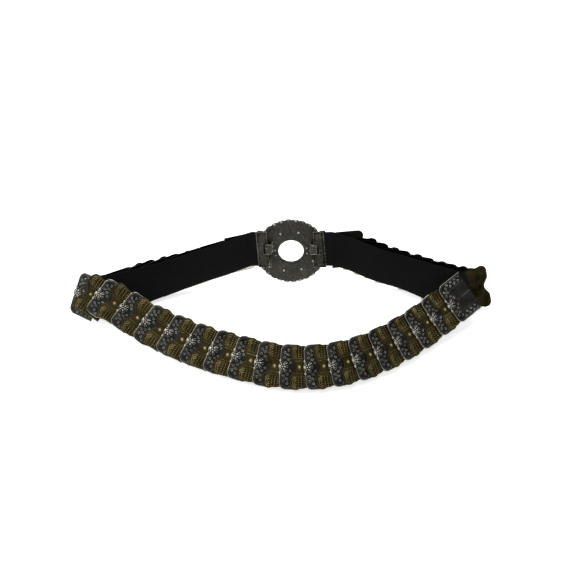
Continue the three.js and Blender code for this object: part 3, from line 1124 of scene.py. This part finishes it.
@dataclass
class BrassPlate(StampedPlate):
    """Waisted plate: round ears, arcs and dashes on its two panels, and a smooth waist with a boss.

    Where two numbers stand together, a part of the pattern begins at the first and is full at the second.
    """

    waist: float = 4.35
    waist_half: float = 9.25
    corner: float = 5.0
    body_half: float = 18.2
    body_from: tuple[float, float] = (6.0, 9.5)
    rim: Line = Line(0.45, 0.5, 0.26)
    groove: Line = Line(1.1, 0.6, -0.14)
    panel_sunk: float = 0.17
    panel_side: tuple[float, float] = (7.6, 7.9)
    panel_edge: tuple[float, float] = (1.2, 1.6)
    arcs: tuple[float, ...] = (1.5, 3.0, 4.4)
    arc_centre: tuple[float, float] = (5.4, 12.8)
    arc_rise: float = 0.57
    arc_width: float = 0.75
    arc_end: tuple[float, float] = (0.9, 0.2)
    columns: tuple[float, ...] = (7.6, 10.2, 12.8)
    rows: tuple[float, ...] = (9.0, 10.95, 12.9, 14.85, 16.8)
    dash: float = 0.53
    dash_radius: float = 0.8
    dash_spread: tuple[float, float] = (1.0, 0.4)
    rib: Line = Line(1.3, 0.5, 0.18)
    ladder: float = 0.34
    ladder_sunk: float = 0.1
    ladder_pitch: float = 1.9
    ladder_inner: tuple[float, float] = (5.5, 5.7)
    ladder_outer: tuple[float, float] = (7.1, 6.9)
    ladder_edge: tuple[float, float] = (0.9, 1.3)
    rails: tuple[float, float] = (5.2, 7.5)
    rail_width: float = 0.45
    rail_edge: tuple[float, float] = (0.8, 1.2)
    teeth: Line = Line(1.1, 0.7, 0.5)
    teeth_from: tuple[float, float] = (2.0, 3.0)
    teeth_side: tuple[float, float] = (12.0, 13.0)
    teeth_pitch: float = 1.7
    teeth_slant: float = 0.6
    waist_rise: float = 0.16
    waist_side: tuple[float, float] = (5.0, 2.6)
    waist_edge: tuple[float, float] = (0.8, 2.4)
    boss: tuple[float, ...] = (8.4, 1.05, 0.85)
    boss_ring: Line = Line(0.55, 0.35, 0.2)

    def left_edge(self, y: np.ndarray) -> np.ndarray:
        """x of the free edge: round ears and a drawn-in waist."""
        a = np.abs(y)
        over = np.clip(a - (PLATE.half - self.corner), 0, self.corner)
        ear = PLATE.free + self.corner - np.sqrt(np.maximum(self.corner**2 - over**2, 0))
        drawn = 0.5 * (1 + np.cos(np.pi * np.clip(a / self.waist_half, 0, 1)))
        return ear + self.waist * drawn

    def squeeze(self, x: np.ndarray) -> np.ndarray:
        """Share of the full height that the plate has at x: the ears stand a little proud."""
        cut = 1 - self.body_half / PLATE.half
        return super().squeeze(x) * (1 - cut * smooth(*self.body_from, x - PLATE.free))

    def relief(self, t: np.ndarray, a: np.ndarray, d: np.ndarray) -> np.ndarray:
        """Height of the pattern, as the plate's class describes."""
        height = self.rim.over(d) + self.groove.over(d)
        panel = smooth(*self.panel_side, a) * smooth(*self.panel_edge, d)
        height -= self.panel_sunk * panel
        x, y = self.arc_centre
        r = np.hypot(t - x, a - y)
        for radius in self.arcs:
            height += self.arc_rise * panel * smooth(*self.arc_end, t - x) * ridge(r - radius, self.arc_width)
        dash = np.zeros_like(t)
        for column in self.columns:
            for row in self.rows:
                off = np.hypot((t - column) / self.dash_radius, (a - row) / self.dash_radius)
                dash = np.maximum(dash, smooth(*self.dash_spread, off))
            height += panel * self.rib.over(t - column)
        height += self.dash * panel * dash
        rungs = smooth(*self.ladder_inner, a) * smooth(*self.ladder_outer, a) * smooth(*self.ladder_edge, d)
        height += self.ladder * rungs * wave(t, self.ladder_pitch) - self.ladder_sunk * rungs
        rails = sum(ridge(a - at, self.rail_width) for at in self.rails)
        height += self.ladder * rails * smooth(*self.rail_edge, d)
        teeth = self.teeth.over(d) * smooth(*self.teeth_from, t) * smooth(*self.teeth_side, a)
        height += teeth * wave(t - self.teeth_slant * a, self.teeth_pitch)
        height += self.waist_rise * smooth(*self.waist_side, a) * smooth(*self.waist_edge, d)
        x, radius, rise = self.boss
        off = np.hypot(t - x, a)
        height += self.boss_ring.over(off - radius)
        return np.maximum(height, rise * dome(off, radius))


def put_down(mesh: bpy.types.Mesh, name: str, place: Matrix, finish: bpy.types.Material, *nodes: str,
             slot: str) -> bpy.types.Object:
    """Puts a mesh made in millimetres where it belongs, as a piece of the belt.

    Args:
        mesh: The mesh; it is changed.
        name: The piece's name.
        place: From the mesh's own axes to the belt's, in millimetres.
        finish: Its material.
        *nodes: The solids that it stands for.
        slot: Not used.

    Returns:
        The piece.
    """
    mesh.transform(Matrix.Scale(MM, 4) @ Matrix.Translation(SET_DOWN) @ place)
    if place.determinant() < 0:
        mesh.flip_normals()
    mesh.name = name
    piece = bpy.data.objects.new(name, mesh)
    bpy.context.scene.collection.objects.link(piece)
    mesh.materials.clear()
    mesh.materials.append(finish)
    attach(piece, "root")
    if nodes:
        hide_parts(*nodes)
    return piece


@dataclass
class PlateRuns:
    """All the plates: each front one a piece of its own, and a run of them on each side of the buckle."""

    laid: list[Matrix]
    finishes: dict[Finish, bpy.types.Material]
    front_grid: PlateGrid = PlateGrid(drawn_in=0.15)
    # The back runs' lower walls are drawn bright; their upper walls and backs keep the painted shade.
    back_grid: PlateGrid = PlateGrid(shown=32, covered=3, rows=80, lower_wall_level=0.85)
    end_grid: PlateGrid = PlateGrid(shown=80, covered=4, rows=116, shown_to=4.0, fades=False)
    corner_plates: tuple[int, ...] = (12, 13, 46, 47)
    hang: float = 0.7

    def build(self) -> None:
        """Lays them all."""
        kinds = ((SilverPlate, Finish.SILVER, "silver"), (BrassPlate, Finish.BRASS, "brass"))
        front = [kind(self.front_grid) for kind, _, _ in kinds]
        ends = [kind(self.end_grid, both_sides=True) for kind, _, _ in kinds]
        for i in range(SPACING.left_back_count, SPACING.front_end):
            _, finish, word = kinds[i % 2]
            number = (i - SPACING.left_back_count) // 2 + 1
            template = (ends if i in self.corner_plates else front)[i % 2]
            name = f"{word}_plate_{number:02d}"
            put_down(template.mesh.copy(), f"{name}_stamped", self.laid[i], self.finishes[finish], name,
                     slot=word)
            log.info("%s_stamped", name)
        back = [kind(self.back_grid).mesh for kind, _, _ in kinds]
        meshes = [back[i % 2] for i in range(len(self.laid))]
        meshes[-1] = ends[(len(self.laid) - 1) % 2].mesh
        runs = (("left_back_plates", 0, SPACING.left_back_count),
                ("right_back_plates", SPACING.front_end, len(self.laid)))
        for node, first, last in runs:
            for kind, (_, finish, word) in enumerate(kinds):
                self._run(node, word, finish, [i for i in range(first, last) if i % 2 == kind], meshes)

    def _run(self, node: str, word: str, finish: Finish, indices: list[int],
             meshes: list[bpy.types.Mesh]) -> None:
        """Joins the plates of one kind in a back run, each hung low on the elastic where the table allows.

        Args:
            node: The solid they stand for.
            word: The kind's name.
            finish: Their finish.
            indices: Their places in the belt.
            meshes: The mesh of each plate of the belt, about its own axes.
        """
        bm = bmesh.new()
        for i in indices:
            mesh = meshes[i].copy()
            mesh.transform(self.laid[i])
            room = max(0.0, min(v.co.z for v in mesh.vertices) + SET_DOWN.z)
            down = self.laid[i].to_3x3() @ Vector((0, -min(self.hang, room), 0))
            mesh.transform(Matrix.Translation(down))
            bm.from_mesh(mesh)
            bpy.data.meshes.remove(mesh)
        joined = bpy.data.meshes.new(node)
        bm.to_mesh(joined)
        bm.free()
        put_down(joined, f"{node}_{word}", Matrix(), self.finishes[finish], node, slot="brass")
        log.info("%s_%s", node, word)


@dataclass
class ElasticBand:
    """The elastic: a closed ribbon along the course with its own thread coordinates, and its hem stitches."""

    course: Course
    finish: bpy.types.Material
    steps: int = 680
    columns: int = 12
    rolled_edge: float = 0.55
    edge_width: float = 0.1
    crease: float = 50.0
    stitch_length: float = 1.5
    stitch_pitch: float = 2.3
    stitch_radius: float = 0.24
    hem_rows: tuple[float, ...] = (12.5, 14.2)

    def build(self) -> None:
        """Weaves it."""
        bm = bmesh.new()
        bmesh.ops.create_grid(bm, x_segments=self.steps, y_segments=self.columns, size=0.5)
        along = bm.verts.layers.float.new("along")
        across = bm.verts.layers.float.new("across")
        for v in bm.verts:
            v[along] = (v.co.x + 0.5) * self.course.length
            v[across] = v.co.y * BAND.width
        outer = set(bm.verts)
        bmesh.ops.extrude_face_region(bm, geom=bm.faces[:])
        frames: dict[float, Frame] = {}
        for v in bm.verts:
            place = round(v[along], 3)
            if place not in frames:
                frames[place] = self.course.at(place)
            f = frames[place]
            rolled = abs(v[across]) > BAND.width / 2 - self.edge_width
            side = (1 if v in outer else -1) * (BAND.thick / 2) * (self.rolled_edge if rolled else 1.0)
            v.co = f.point + f.up * v[across] + f.out * side
        mesh = finished(bm, "elastic", self.crease)
        put_down(mesh, "elastic_webbing", Matrix(), self.finish, "elastic_band", slot="elastic")
        log.info("elastic_webbing")
        self._stitches()

    def _stitches(self) -> None:
        """Sews the hem at each end of the elastic with rows of short thread."""
        bm = bmesh.new()
        count = int(BAND.width / self.stitch_pitch)
        for row in self.hem_rows:
            for distance in (row, self.course.length - row):
                f = self.course.at(distance)
                turn = Matrix((f.along, f.out, f.up)).transposed().to_4x4()
                for k in range(count):
                    y = (k - (count - 1) / 2) * self.stitch_pitch
                    turn.translation = f.point + f.up * y - f.out * (BAND.thick / 2)
                    stretch = Matrix.Diagonal((1, 1, self.stitch_length / (2 * self.stitch_radius), 1))
                    bmesh.ops.create_uvsphere(bm, u_segments=8, v_segments=6, radius=self.stitch_radius,
                                              matrix=turn @ stretch)
        bmesh.ops.recalc_face_normals(bm, faces=bm.faces[:])
        put_down(finished(bm, "stitches", 60), "hem_stitches", Matrix(), self.finish, slot="elastic")
        log.info("hem_stitches")


@dataclass(frozen=True)
class ClampSheet:
    """Sizes of the sheet clamp on the left end of the elastic, about the buckle's axes."""

    outer: float = 30.9
    fold: float = 25.2
    inner: float = 21.4
    tab_reach: float = 19.1
    tab_height: float = 9.0
    height: float = 37.0
    sheet: float = 0.7
    rise: float = 4.65
    wall: float = 1.1
    slot_x: float = 24.0
    slot_width: float = 3.2
    slot_height: float = 11.2
    slot_up: float = 1.0
    pitch: float = 0.42
    skews: tuple[float, float] = (0.06, 0.1)
    knuckle: float = 0.75
    knuckles: int = 3
    knuckle_inset: float = 0.9
    knuckle_first: float = 1.6
    knuckle_step: float = 2.7
    knuckle_stretch: float = 1.55
    knuckle_level: float = 0.6
    stud: float = 1.0
    stud_inset: float = 1.0
    stud_up: float = 7.2
    flatness: float = 0.9
    edge_level: float = 0.8
    face_level: float = 0.42
    fold_level: float = 0.55
    dents: tuple[tuple[float, float], ...] = ((28.4, 15.2), (27.0, -3.2))
    dent_depth: float = 0.4
    dent_radius: float = 1.1
    dent_dulling: float = 0.25
    dulled_radius: float = 1.3
    groove_inset: float = 1.5
    groove_spread: float = 0.45
    groove_depth: float = 0.18
    groove_dulling: float = 0.3
    tab_margin: float = 0.6
    # Painted shade on the right clamp.
    right_clamp_shade: float = 0.1
    burr: float = 0.14
    bend: float = 0.6


@dataclass(frozen=True)
class HookStrip:
    """Sizes of the bent hook."""

    width: float = 10.0
    thick: float = 0.9
    foot: float = 16.4
    riser: float = 17.95
    tip: float = 23.4
    base: float = -2.65
    bridge: float = 2.55
    tip_depth: float = -0.6
    bend: float = 0.8
    burr: float = 0.2
    steps: int = 10
    bend_steps: int = 5
    edge_level: float = 0.75
    face_level: float = 0.5


@dataclass(frozen=True)
class Ring:
    """A round moulding of the disc's front with an ornament that is cut into it again and again.

    Attributes:
        at: Distance of its crest from the middle, or of its start for the petals.
        half: Half its width, or all of it for the petals.
        rise: Its height.
        repeats: How often the ornament comes round.
        inner: Where the ornament begins.
        outer: Where it ends.
        cut: How deep it is cut.
        dull: Level of polish in the cuts.
        shine: How much brighter the crests are.
    """

    at: float
    half: float
    rise: float
    repeats: int
    inner: float
    outer: float
    cut: float
    dull: float
    shine: float

    def over(self, r: np.ndarray) -> np.ndarray:
        """Height that it adds at each distance from the middle."""
        return self.rise * dome(r - self.at, self.half)

    def holds(self, r: float) -> bool:
        """Whether its ornament is cut at that distance from the middle."""
        return self.inner < r <= self.outer

    def shaped(self, crest: float) -> tuple[float, float]:
        """Depth and level of polish where the ornament reaches a share of its crest."""
        return self.cut * (1 - crest), self.dull + self.shine * crest


@dataclass
class Buckle:
    """The cast disc, its clamps and its hooks, about the buckle's own axes: z points into the loop.

    Each kind of stud is its x, y, radius and height.
    """

    finishes: dict[Finish, bpy.types.Material]
    centre: Vector = field(default_factory=lambda: Vector((1.0, 16.6, 33.0)))
    lean: float = 20.0
    turn: float = 4.6
    radius: float = 33.0
    hole: float = 11.7
    thick: float = 2.2
    back: float = -3.4
    scallops: int = 30
    scallop_depth: float = 1.1
    steps_per_scallop: int = 10
    rivets: tuple[float, ...] = (8.2, 19.2, 1.05, 0.9)
    pins: tuple[float, ...] = (14.6, 2.7, 0.75, 0.8)
    rope: Ring = Ring(at=29.6, half=2.1, rise=1.25, repeats=30, inner=27.4, outer=31.8, cut=0.55, dull=0.25,
                      shine=0.6)
    beads: Ring = Ring(at=26.4, half=1.0, rise=0.35, repeats=22, inner=25.4, outer=27.4, cut=0.35, dull=0.2,
                       shine=0.6)
    petals: Ring = Ring(at=17.2, half=7.8, rise=0.75, repeats=8, inner=17.2, outer=25.4, cut=0.5, dull=0.2,
                        shine=0.45)
    bezel: Ring = Ring(at=13.8, half=2.3, rise=1.9, repeats=18, inner=12.6, outer=16.6, cut=0.35, dull=0.25,
                       shine=0.6)
    rope_lean: float = 1.5
    petal_bluntness: float = 0.6
    petal_lines: int = 48
    line_cut: float = 0.1
    vein_width: float = 0.45
    vein_rise: float = 0.12
    vein_shine: float = 0.2
    plain_level: float = 0.25
    back_lip: Line = Line(13.6, 1.2, 0.25)
    back_groove: Line = Line(30.4, 0.8, -0.2)
    edge_round: float = 1.0
    rim_from: float = 30.0
    rim_width: float = 3.0
    rim_rise: float = 0.3
    face_level: float = 0.3
    # Painted highlight on the tips of the rim's scallops: base level, how narrow, and how it changes from tip
    # to tip.
    painted_glint_level: tuple[float, float] = (0.25, 0.8)
    painted_glint_sharpness: int = 8
    painted_glint_change: float = 2.4
    disc_crease: float = 48.0
    sheet_crease: float = 35.0
    clamp: ClampSheet = ClampSheet()
    hook: HookStrip = HookStrip()

    def place(self) -> Matrix:
        """From the buckle's axes to the belt's."""
        return Matrix.Translation(self.centre) @ Matrix.Rotation(math.radians(90 - self.lean), 4, "X")

    def build(self) -> None:
        """Casts the disc and dresses both sides with a clamp and a hook."""
        self._disc()
        for side, mirror in (("left", 1), ("right", -1)):
            place = self.place() @ Matrix.Diagonal((mirror, 1, 1, 1))
            for name, bm in ((f"{side}_clamp", self._clamp(mirror)), (f"{side}_hook", self._hook())):
                put_down(finished(bm, name, self.sheet_crease), f"{name}_sheet", place,
                         self.finishes[Finish.CLAMP], name, slot="pewter")
                log.info("%s_sheet", name)

    def _front_rise(self, r: np.ndarray) -> np.ndarray:
        """Height of the disc's front over its sheet, on a half section.

        Args:
            r: Distances from the hole's middle.

        Returns:
            The heights.
        """
        p = self.petals
        crown = p.rise * np.sin(np.pi * np.clip((r - p.at) / p.half, 0, 1))
        return np.maximum.reduce((self.rope.over(r), self.beads.over(r), crown, self.bezel.over(r)))

    def _profile(self) -> list[tuple[float, float]]:
        """Half section of the disc.

        Returns:
            Radius and depth of each corner, from the hole's back edge round to it again.
        """
        b, f = self.back, self.back - self.thick
        rim = self.radius - self.edge_round
        back = np.linspace(self.hole + 0.5, rim, 26)
        lip = self.back_lip.over(back) + self.back_groove.over(back)
        turns = [k * math.pi / 8 for k in range(1, 8)]
        edge = [(rim + math.sin(turn), (b + f) / 2 + self.thick / 2 * math.cos(turn)) for turn in turns]
        front = np.linspace(rim, self.hole, 64)
        rows = [(float(r), b + float(h)) for r, h in zip(back, lip)] + edge
        rows += [(float(r), f - float(h)) for r, h in zip(front, self._front_rise(front))]
        return rows + [(self.hole, b - 0.5)]

    def _disc(self) -> None:
        """Spins the half section, shapes the scallops, the rope, the beads and the petals, and paints
        highlights on the scallop tips.
        """
        bm = bmesh.new()
        points = [bm.verts.new((r, 0, z)) for r, z in self._profile()]
        edges = [bm.edges.new((a, b)) for a, b in zip(points, points[1:] + points[:1])]
        bmesh.ops.spin(bm, geom=points + edges, cent=(0, 0, 0), axis=(0, 0, 1), angle=2 * math.pi,
                       steps=self.scallops * self.steps_per_scallop, use_merge=True)
        bmesh.ops.remove_doubles(bm, verts=bm.verts[:], dist=0.001)
        level = bm.verts.layers.float.new("relief")
        middle = self.back - self.thick / 2
        for v in bm.verts:
            r, angle = math.hypot(v.co.x, v.co.y), math.atan2(v.co.y, v.co.x)
            lobe = abs(math.sin(angle * self.scallops / 2))
            rim = min(1.0, max(0.0, (r - self.rim_from) / self.rim_width))
            scale = 1 - self.scallop_depth * (1 - lobe) / self.radius * rim
            v.co.x *= scale
            v.co.y *= scale
            # Painted highlight: glints painted on the tips of the rim's scallops, brighter on some tips than
            # on others.
            number = math.floor(angle * self.scallops / (2 * math.pi))
            least, more = self.painted_glint_level
            shine = least + more * (0.5 + 0.5 * math.sin(self.painted_glint_change * number))
            v[level] = self.face_level + rim * lobe**self.painted_glint_sharpness * shine
            if v.co.z > middle:
                v.co.z += self.rim_rise * rim * lobe
            else:
                cut, shine = self._front_cut(r, angle)
                v.co.z += cut
                v[level] = shine
        self._studs(bm, level)
        place = self.place() @ Matrix.Rotation(math.radians(self.turn), 4, "Z")
        put_down(finished(bm, "disc", self.disc_crease), "buckle_disc_cast", place,
                 self.finishes[Finish.CASTING], "buckle_disc", slot="pewter")
        log.info("buckle_disc_cast")

    def _front_cut(self, r: float, angle: float) -> tuple[float, float]:
        """How deep the front's ornament is cut at a place, and how bright that leaves it.

        Args:
            r: Distance from the hole's middle.
            angle: Direction, in radians.

        Returns:
            The depth in millimetres and the level of polish.
        """
        if self.rope.holds(r):
            turn = self.rope.repeats * angle + self.rope_lean * (r - self.rope.at)
            return self.rope.shaped(0.5 + 0.5 * math.sin(turn))
        if self.beads.holds(r):
            return self.beads.shaped(abs(math.cos(self.beads.repeats * angle)))
        if self.petals.holds(r):
            count = self.petals.repeats
            petal = abs(math.cos(count * angle)) ** self.petal_bluntness
            vein = math.exp(-((math.sin(count * angle) * r / count / self.vein_width) ** 2))
            line = 0.5 + 0.5 * math.cos(self.petal_lines * angle)
            cut, shine = self.petals.shaped(petal)
            return cut - self.vein_rise * vein + self.line_cut * line * petal, shine + self.vein_shine * vein
        if self.bezel.holds(r):
            return self.bezel.shaped(abs(math.cos(self.bezel.repeats * angle)))
        return 0.0, self.plain_level

    def _studs(self, bm: bmesh.types.BMesh, level: Any) -> None:
        """Adds the rivet heads and the pins on the disc's back, four of each.

        Args:
            bm: The disc.
            level: The layer that holds how high the metal stands.
        """
        for x, y, radius, rise in (self.rivets, self.pins):
            for sx in (-1, 1):
                for sy in (-1, 1):
                    place = Matrix.Translation((x * sx, y * sy, self.back))
                    place = place @ Matrix.Diagonal((1, 1, rise / radius, 1))
                    made = bmesh.ops.create_uvsphere(bm, u_segments=16, v_segments=10, radius=radius,
                                                     matrix=place)
                    for v in made["verts"]:
                        v[level] = 1.0

    def _clamp(self, side: int) -> bmesh.types.BMesh:
        """Folded sheet on the left end of the elastic.

        Args:
            side: 1 for the left clamp; -1 for the one that is mirrored to the right, so that both lean alike.

        Returns:
            The sheet.
        """
        c = self.clamp
        low, high = c.rise - c.height / 2, c.rise + c.height / 2
        slot = (-c.slot_x - c.slot_width / 2, -c.slot_x + c.slot_width / 2,
                c.rise + c.slot_up - c.slot_height / 2, c.rise + c.slot_up + c.slot_height / 2)

        def keep(x: float, y: float) -> bool:
            """True where the lid has metal: not in the slot, and only the tab reaches past the lid's edge."""
            in_slot = slot[0] < x < slot[1] and slot[2] < y < slot[3]
            return not in_slot and (x < -c.inner or y < low + c.tab_height)

        xs = self._lines((-c.outer, slot[0], slot[1], -c.inner, -c.tab_reach))
        ys = self._lines((low, low + c.tab_height, slot[2], slot[3], high))
        bm = self._sheet(xs, ys, keep, c.wall + c.sheet / 2)
        level = bm.verts.layers.float["relief"]
        skew = c.skews[0] if side > 0 else c.skews[1]
        for v in bm.verts:
            for x, y in c.dents:
                near = math.hypot(v.co.x + x, v.co.y - c.rise - y)
                v.co.z -= c.dent_depth * max(0.0, 1 - (near / c.dent_radius) ** 2)
                v[level] -= c.dent_dulling * max(0.0, 1 - (near / c.dulled_radius) ** 2)
            inset = min(v.co.x + c.outer, v.co.y - low, high - v.co.y, abs(v.co.x + c.inner) + c.tab_margin)
            groove = math.exp(-(((inset - c.groove_inset) / c.groove_spread) ** 2))
            v.co.z -= c.groove_depth * groove
            v[level] -= c.groove_dulling * groove
            v.co.x -= side * skew * (v.co.y - c.rise)
            # Painted shade: the right clamp is drawn a little darker than the left, which is the same sheet.
            v[level] -= 0.0 if side > 0 else c.right_clamp_shade
        self._fold(bm, level, low, high)
        bmesh.ops.solidify(bm, geom=bm.faces[:], thickness=c.sheet)
        self._soften(bm, c.burr)
        self._fittings(bm, level, side, low)
        return bm

    def _fittings(self, bm: bmesh.types.BMesh, level: Any, side: int, low: float) -> None:
        """Adds the hinge knuckles on the left clamp's tab, or the stud on the right one's.

        Args:
            bm: The clamp.
            level: The layer that holds the wear.
            side: 1 for the left clamp, -1 for the right one.
            low: The clamp's lower end.
        """
        c = self.clamp
        top = c.wall + c.sheet
        if side > 0:
            shapes = [(c.tab_reach + c.knuckle_inset, low + c.knuckle_first + c.knuckle_step * k, c.knuckle,
                       c.knuckle_stretch, c.knuckle_level) for k in range(c.knuckles)]
        else:
            shapes = [(c.tab_reach + c.stud_inset, low + c.stud_up, c.stud, 1.0, 1.0)]
        for x, y, radius, stretch, shine in shapes:
            place = Matrix.Translation((-x, y, top)) @ Matrix.Diagonal((1, stretch, c.flatness, 1))
            made = bmesh.ops.create_uvsphere(bm, u_segments=14, v_segments=8, radius=radius, matrix=place)
            for v in made["verts"]:
                v[level] = shine

    def _lines(self, stops: Sequence[float]) -> list[float]:
        """Grid lines that keep every stop.

        Args:
            stops: Places that a line has to go through, in order.

        Returns:
            All the lines.
        """
        lines = [stops[0]]
        for a, b in zip(stops[:-1], stops[1:]):
            lines += [float(v) for v in np.linspace(a, b, max(2, round((b - a) / self.clamp.pitch) + 1))[1:]]
        return lines

    def _sheet(self, xs: list[float], ys: list[float], keep: Callable[[float, float], bool],
               z: float) -> bmesh.types.BMesh:
        """A flat sheet on given grid lines.

        Args:
            xs: Lines across x.
            ys: Lines across y.
            keep: Says whether there is metal at a place.
            z: Its height.

        Returns:
            The sheet, with its level of wear: high along its edges.
        """
        bm = bmesh.new()
        bmesh.ops.create_grid(bm, x_segments=len(xs) - 1, y_segments=len(ys) - 1, size=0.5)
        for v in bm.verts:
            i, j = round((v.co.x + 0.5) * (len(xs) - 1)), round((v.co.y + 0.5) * (len(ys) - 1))
            v.co = (xs[i], ys[j], z)
        gone = [f for f in bm.faces if not keep(f.calc_center_median().x, f.calc_center_median().y)]
        bmesh.ops.delete(bm, geom=gone, context="FACES")
        level = bm.verts.layers.float.new("relief")
        for v in bm.verts:
            v[level] = self.clamp.edge_level if v.is_boundary else self.clamp.face_level
        return bm

    def _fold(self, bm: bmesh.types.BMesh, level: Any, low: float, high: float) -> None:
        """Adds the wall and the outer layer, which hold the elastic against the lid.

        Args:
            bm: The lid.
            level: The layer that holds the wear.
            low: The clamp's lower end.
            high: Its upper end.
        """
        c = self.clamp
        z = c.wall + c.sheet / 2
        wall = -c.fold - c.sheet / 2
        turns = [k * math.pi / 8 for k in range(1, 5)]
        arc = [(wall - c.bend * (1 - math.sin(t)), c.bend * (1 - math.cos(t)) - z) for t in turns]
        path = [(-c.outer, -z), (wall - c.bend, -z)] + arc + [(wall, z - 0.1)]
        row = [bm.verts.new((x, low, depth)) for x, depth in path]
        edges = [bm.edges.new(pair) for pair in zip(row[:-1], row[1:])]
        for v in row:
            v[level] = c.fold_level
        steps = 12
        for _ in range(steps):
            made = bmesh.ops.extrude_edge_only(bm, edges=edges)["geom"]
            moved = [v for v in made if isinstance(v, bmesh.types.BMVert)]
            bmesh.ops.translate(bm, verts=moved, vec=(0, (high - low) / steps, 0))
            for v in moved:
                v[level] = c.face_level
            kept = set(moved)
            edges = [e for e in made if isinstance(e, bmesh.types.BMEdge) and set(e.verts) <= kept]

    def _hook(self) -> bmesh.types.BMesh:
        """Bent strip that stands on the disc and goes through the left clamp's slot.

        Returns:
            The strip.
        """
        h = self.hook
        corners = [Vector((-h.foot, h.base)), Vector((-h.riser, h.base)), Vector((-h.riser, h.bridge)),
                   Vector((-h.tip, h.bridge)), Vector((-h.tip, h.tip_depth))]
        path = [corners[0]]
        for before, here, after in zip(corners, corners[1:], corners[2:]):
            start = here + (before - here).normalized() * h.bend
            end = here + (after - here).normalized() * h.bend
            for k in range(h.bend_steps + 1):
                t = k / h.bend_steps
                path.append(start.lerp(here, t).lerp(here.lerp(end, t), t))
        path.append(corners[-1])
        bm = bmesh.new()
        level = bm.verts.layers.float.new("relief")
        low = self.clamp.rise + self.clamp.slot_up - h.width / 2
        row = [bm.verts.new((p.x, low, p.y)) for p in path]
        edges = [bm.edges.new(pair) for pair in zip(row[:-1], row[1:])]
        for step in range(h.steps + 1):
            for v in {v for e in edges for v in e.verts}:
                v[level] = h.edge_level if step in (0, h.steps) else h.face_level
            if step == h.steps:
                break
            made = bmesh.ops.extrude_edge_only(bm, edges=edges)["geom"]
            moved = [v for v in made if isinstance(v, bmesh.types.BMVert)]
            bmesh.ops.translate(bm, verts=moved, vec=(0, h.width / h.steps, 0))
            kept = set(moved)
            edges = [e for e in made if isinstance(e, bmesh.types.BMEdge) and set(e.verts) <= kept]
        bmesh.ops.recalc_face_normals(bm, faces=bm.faces[:])
        for v in bm.verts:
            v.co = v.co + v.normal * (h.thick / 2)
        bmesh.ops.solidify(bm, geom=bm.faces[:], thickness=h.thick)
        self._soften(bm, h.burr)
        return bm

    @staticmethod
    def _soften(bm: bmesh.types.BMesh, offset: float) -> None:
        """Takes the burr off the cut edges.

        Args:
            bm: The sheet.
            offset: Width of the chamfer.
        """
        cut = [e for e in bm.edges if len(e.link_faces) == 2 and e.calc_face_angle() > math.radians(70)]
        bmesh.ops.bevel(bm, geom=cut, offset=offset, affect="EDGES", segments=2, profile=0.5, material=-1,
                        clamp_overlap=True)


@dataclass(frozen=True)
class Lamp:
    """A round soft light aimed at the belt: place and size in metres, power in watts."""

    name: str
    place: tuple[float, float, float]
    size: float
    power: float


@dataclass
class Studio:
    """The floor, the light and the camera."""

    elevation: float = 52.0
    distance: float = 700.0
    focal_pixels: float = 745.0
    frame_pixels: float = 580.0
    surroundings: float = 0.36
    table_half: float = 6.0
    lamps: tuple[Lamp, ...] = (
        Lamp("overhead", (-0.1, 0.45, 1.25), 1.2, 17.0),
        Lamp("left", (-1.0, -0.1, 0.75), 0.4, 4.5),
        Lamp("front", (0.35, -1.1, 0.7), 0.25, 2.2),
    )

    def build(self) -> None:
        """Sets it all up."""
        self._floor()
        self._light()
        self._camera()

    def _floor(self) -> None:
        """A wide table."""
        bm = bmesh.new()
        bmesh.ops.create_grid(bm, x_segments=8, y_segments=8, size=self.table_half)
        mesh = bpy.data.meshes.new("table")
        bm.to_mesh(mesh)
        bm.free()
        mesh.materials.append(LightTable().build())
        floor = bpy.data.objects.new("table", mesh)
        bpy.context.scene.collection.objects.link(floor)

    def _light(self) -> None:
        """Dim even surroundings, a broad soft light behind and above, and smaller ones for the glints."""
        world = bpy.data.worlds.new("studio")
        bpy.context.scene.world = world
        world.use_nodes = True
        background = world.node_tree.nodes["Background"]
        background.inputs["Color"].default_value = (1, 1, 1, 1)
        background.inputs["Strength"].default_value = self.surroundings
        for lamp in self.lamps:
            data = bpy.data.lights.new(lamp.name, "AREA")
            data.shape = "DISK"
            data.size = lamp.size
            data.energy = lamp.power
            light = bpy.data.objects.new(lamp.name, data)
            light.location = lamp.place
            light.rotation_euler = (-Vector(lamp.place)).to_track_quat("-Z", "Y").to_euler()
            bpy.context.scene.collection.objects.link(light)
        bpy.context.scene.view_settings.view_transform = "Standard"

    def _camera(self) -> None:
        """The camera at the photograph's angle."""
        tilt = math.radians(self.elevation)
        data = bpy.data.cameras.new("camera")
        data.sensor_width = 36.0
        data.lens = self.focal_pixels / self.frame_pixels * data.sensor_width
        camera = bpy.data.objects.new("camera", data)
        away = Vector((0, -math.cos(tilt), math.sin(tilt))) * self.distance
        camera.location = (SET_DOWN + away) * MM
        camera.rotation_euler = (math.pi / 2 - tilt, 0, 0)
        bpy.context.scene.collection.objects.link(camera)
        bpy.context.scene.camera = camera


def main() -> None:
    """Builds the whole scene."""
    logging.basicConfig(level=logging.INFO, format="%(name)s: %(message)s")
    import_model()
    Studio().build()
    finishes = {finish: finish.value.build() for finish in Finish}
    course = Course(STATIONS)
    log.info("course %.1f mm", course.length)
    laid = PlateLayer(course).lay()
    log.info("%d plates laid", len(laid))
    ElasticBand(course, finishes[Finish.ELASTIC]).build()
    PlateRuns(laid, finishes).build()
    Buckle(finishes).build()


if __name__ == "__main__":
    main()
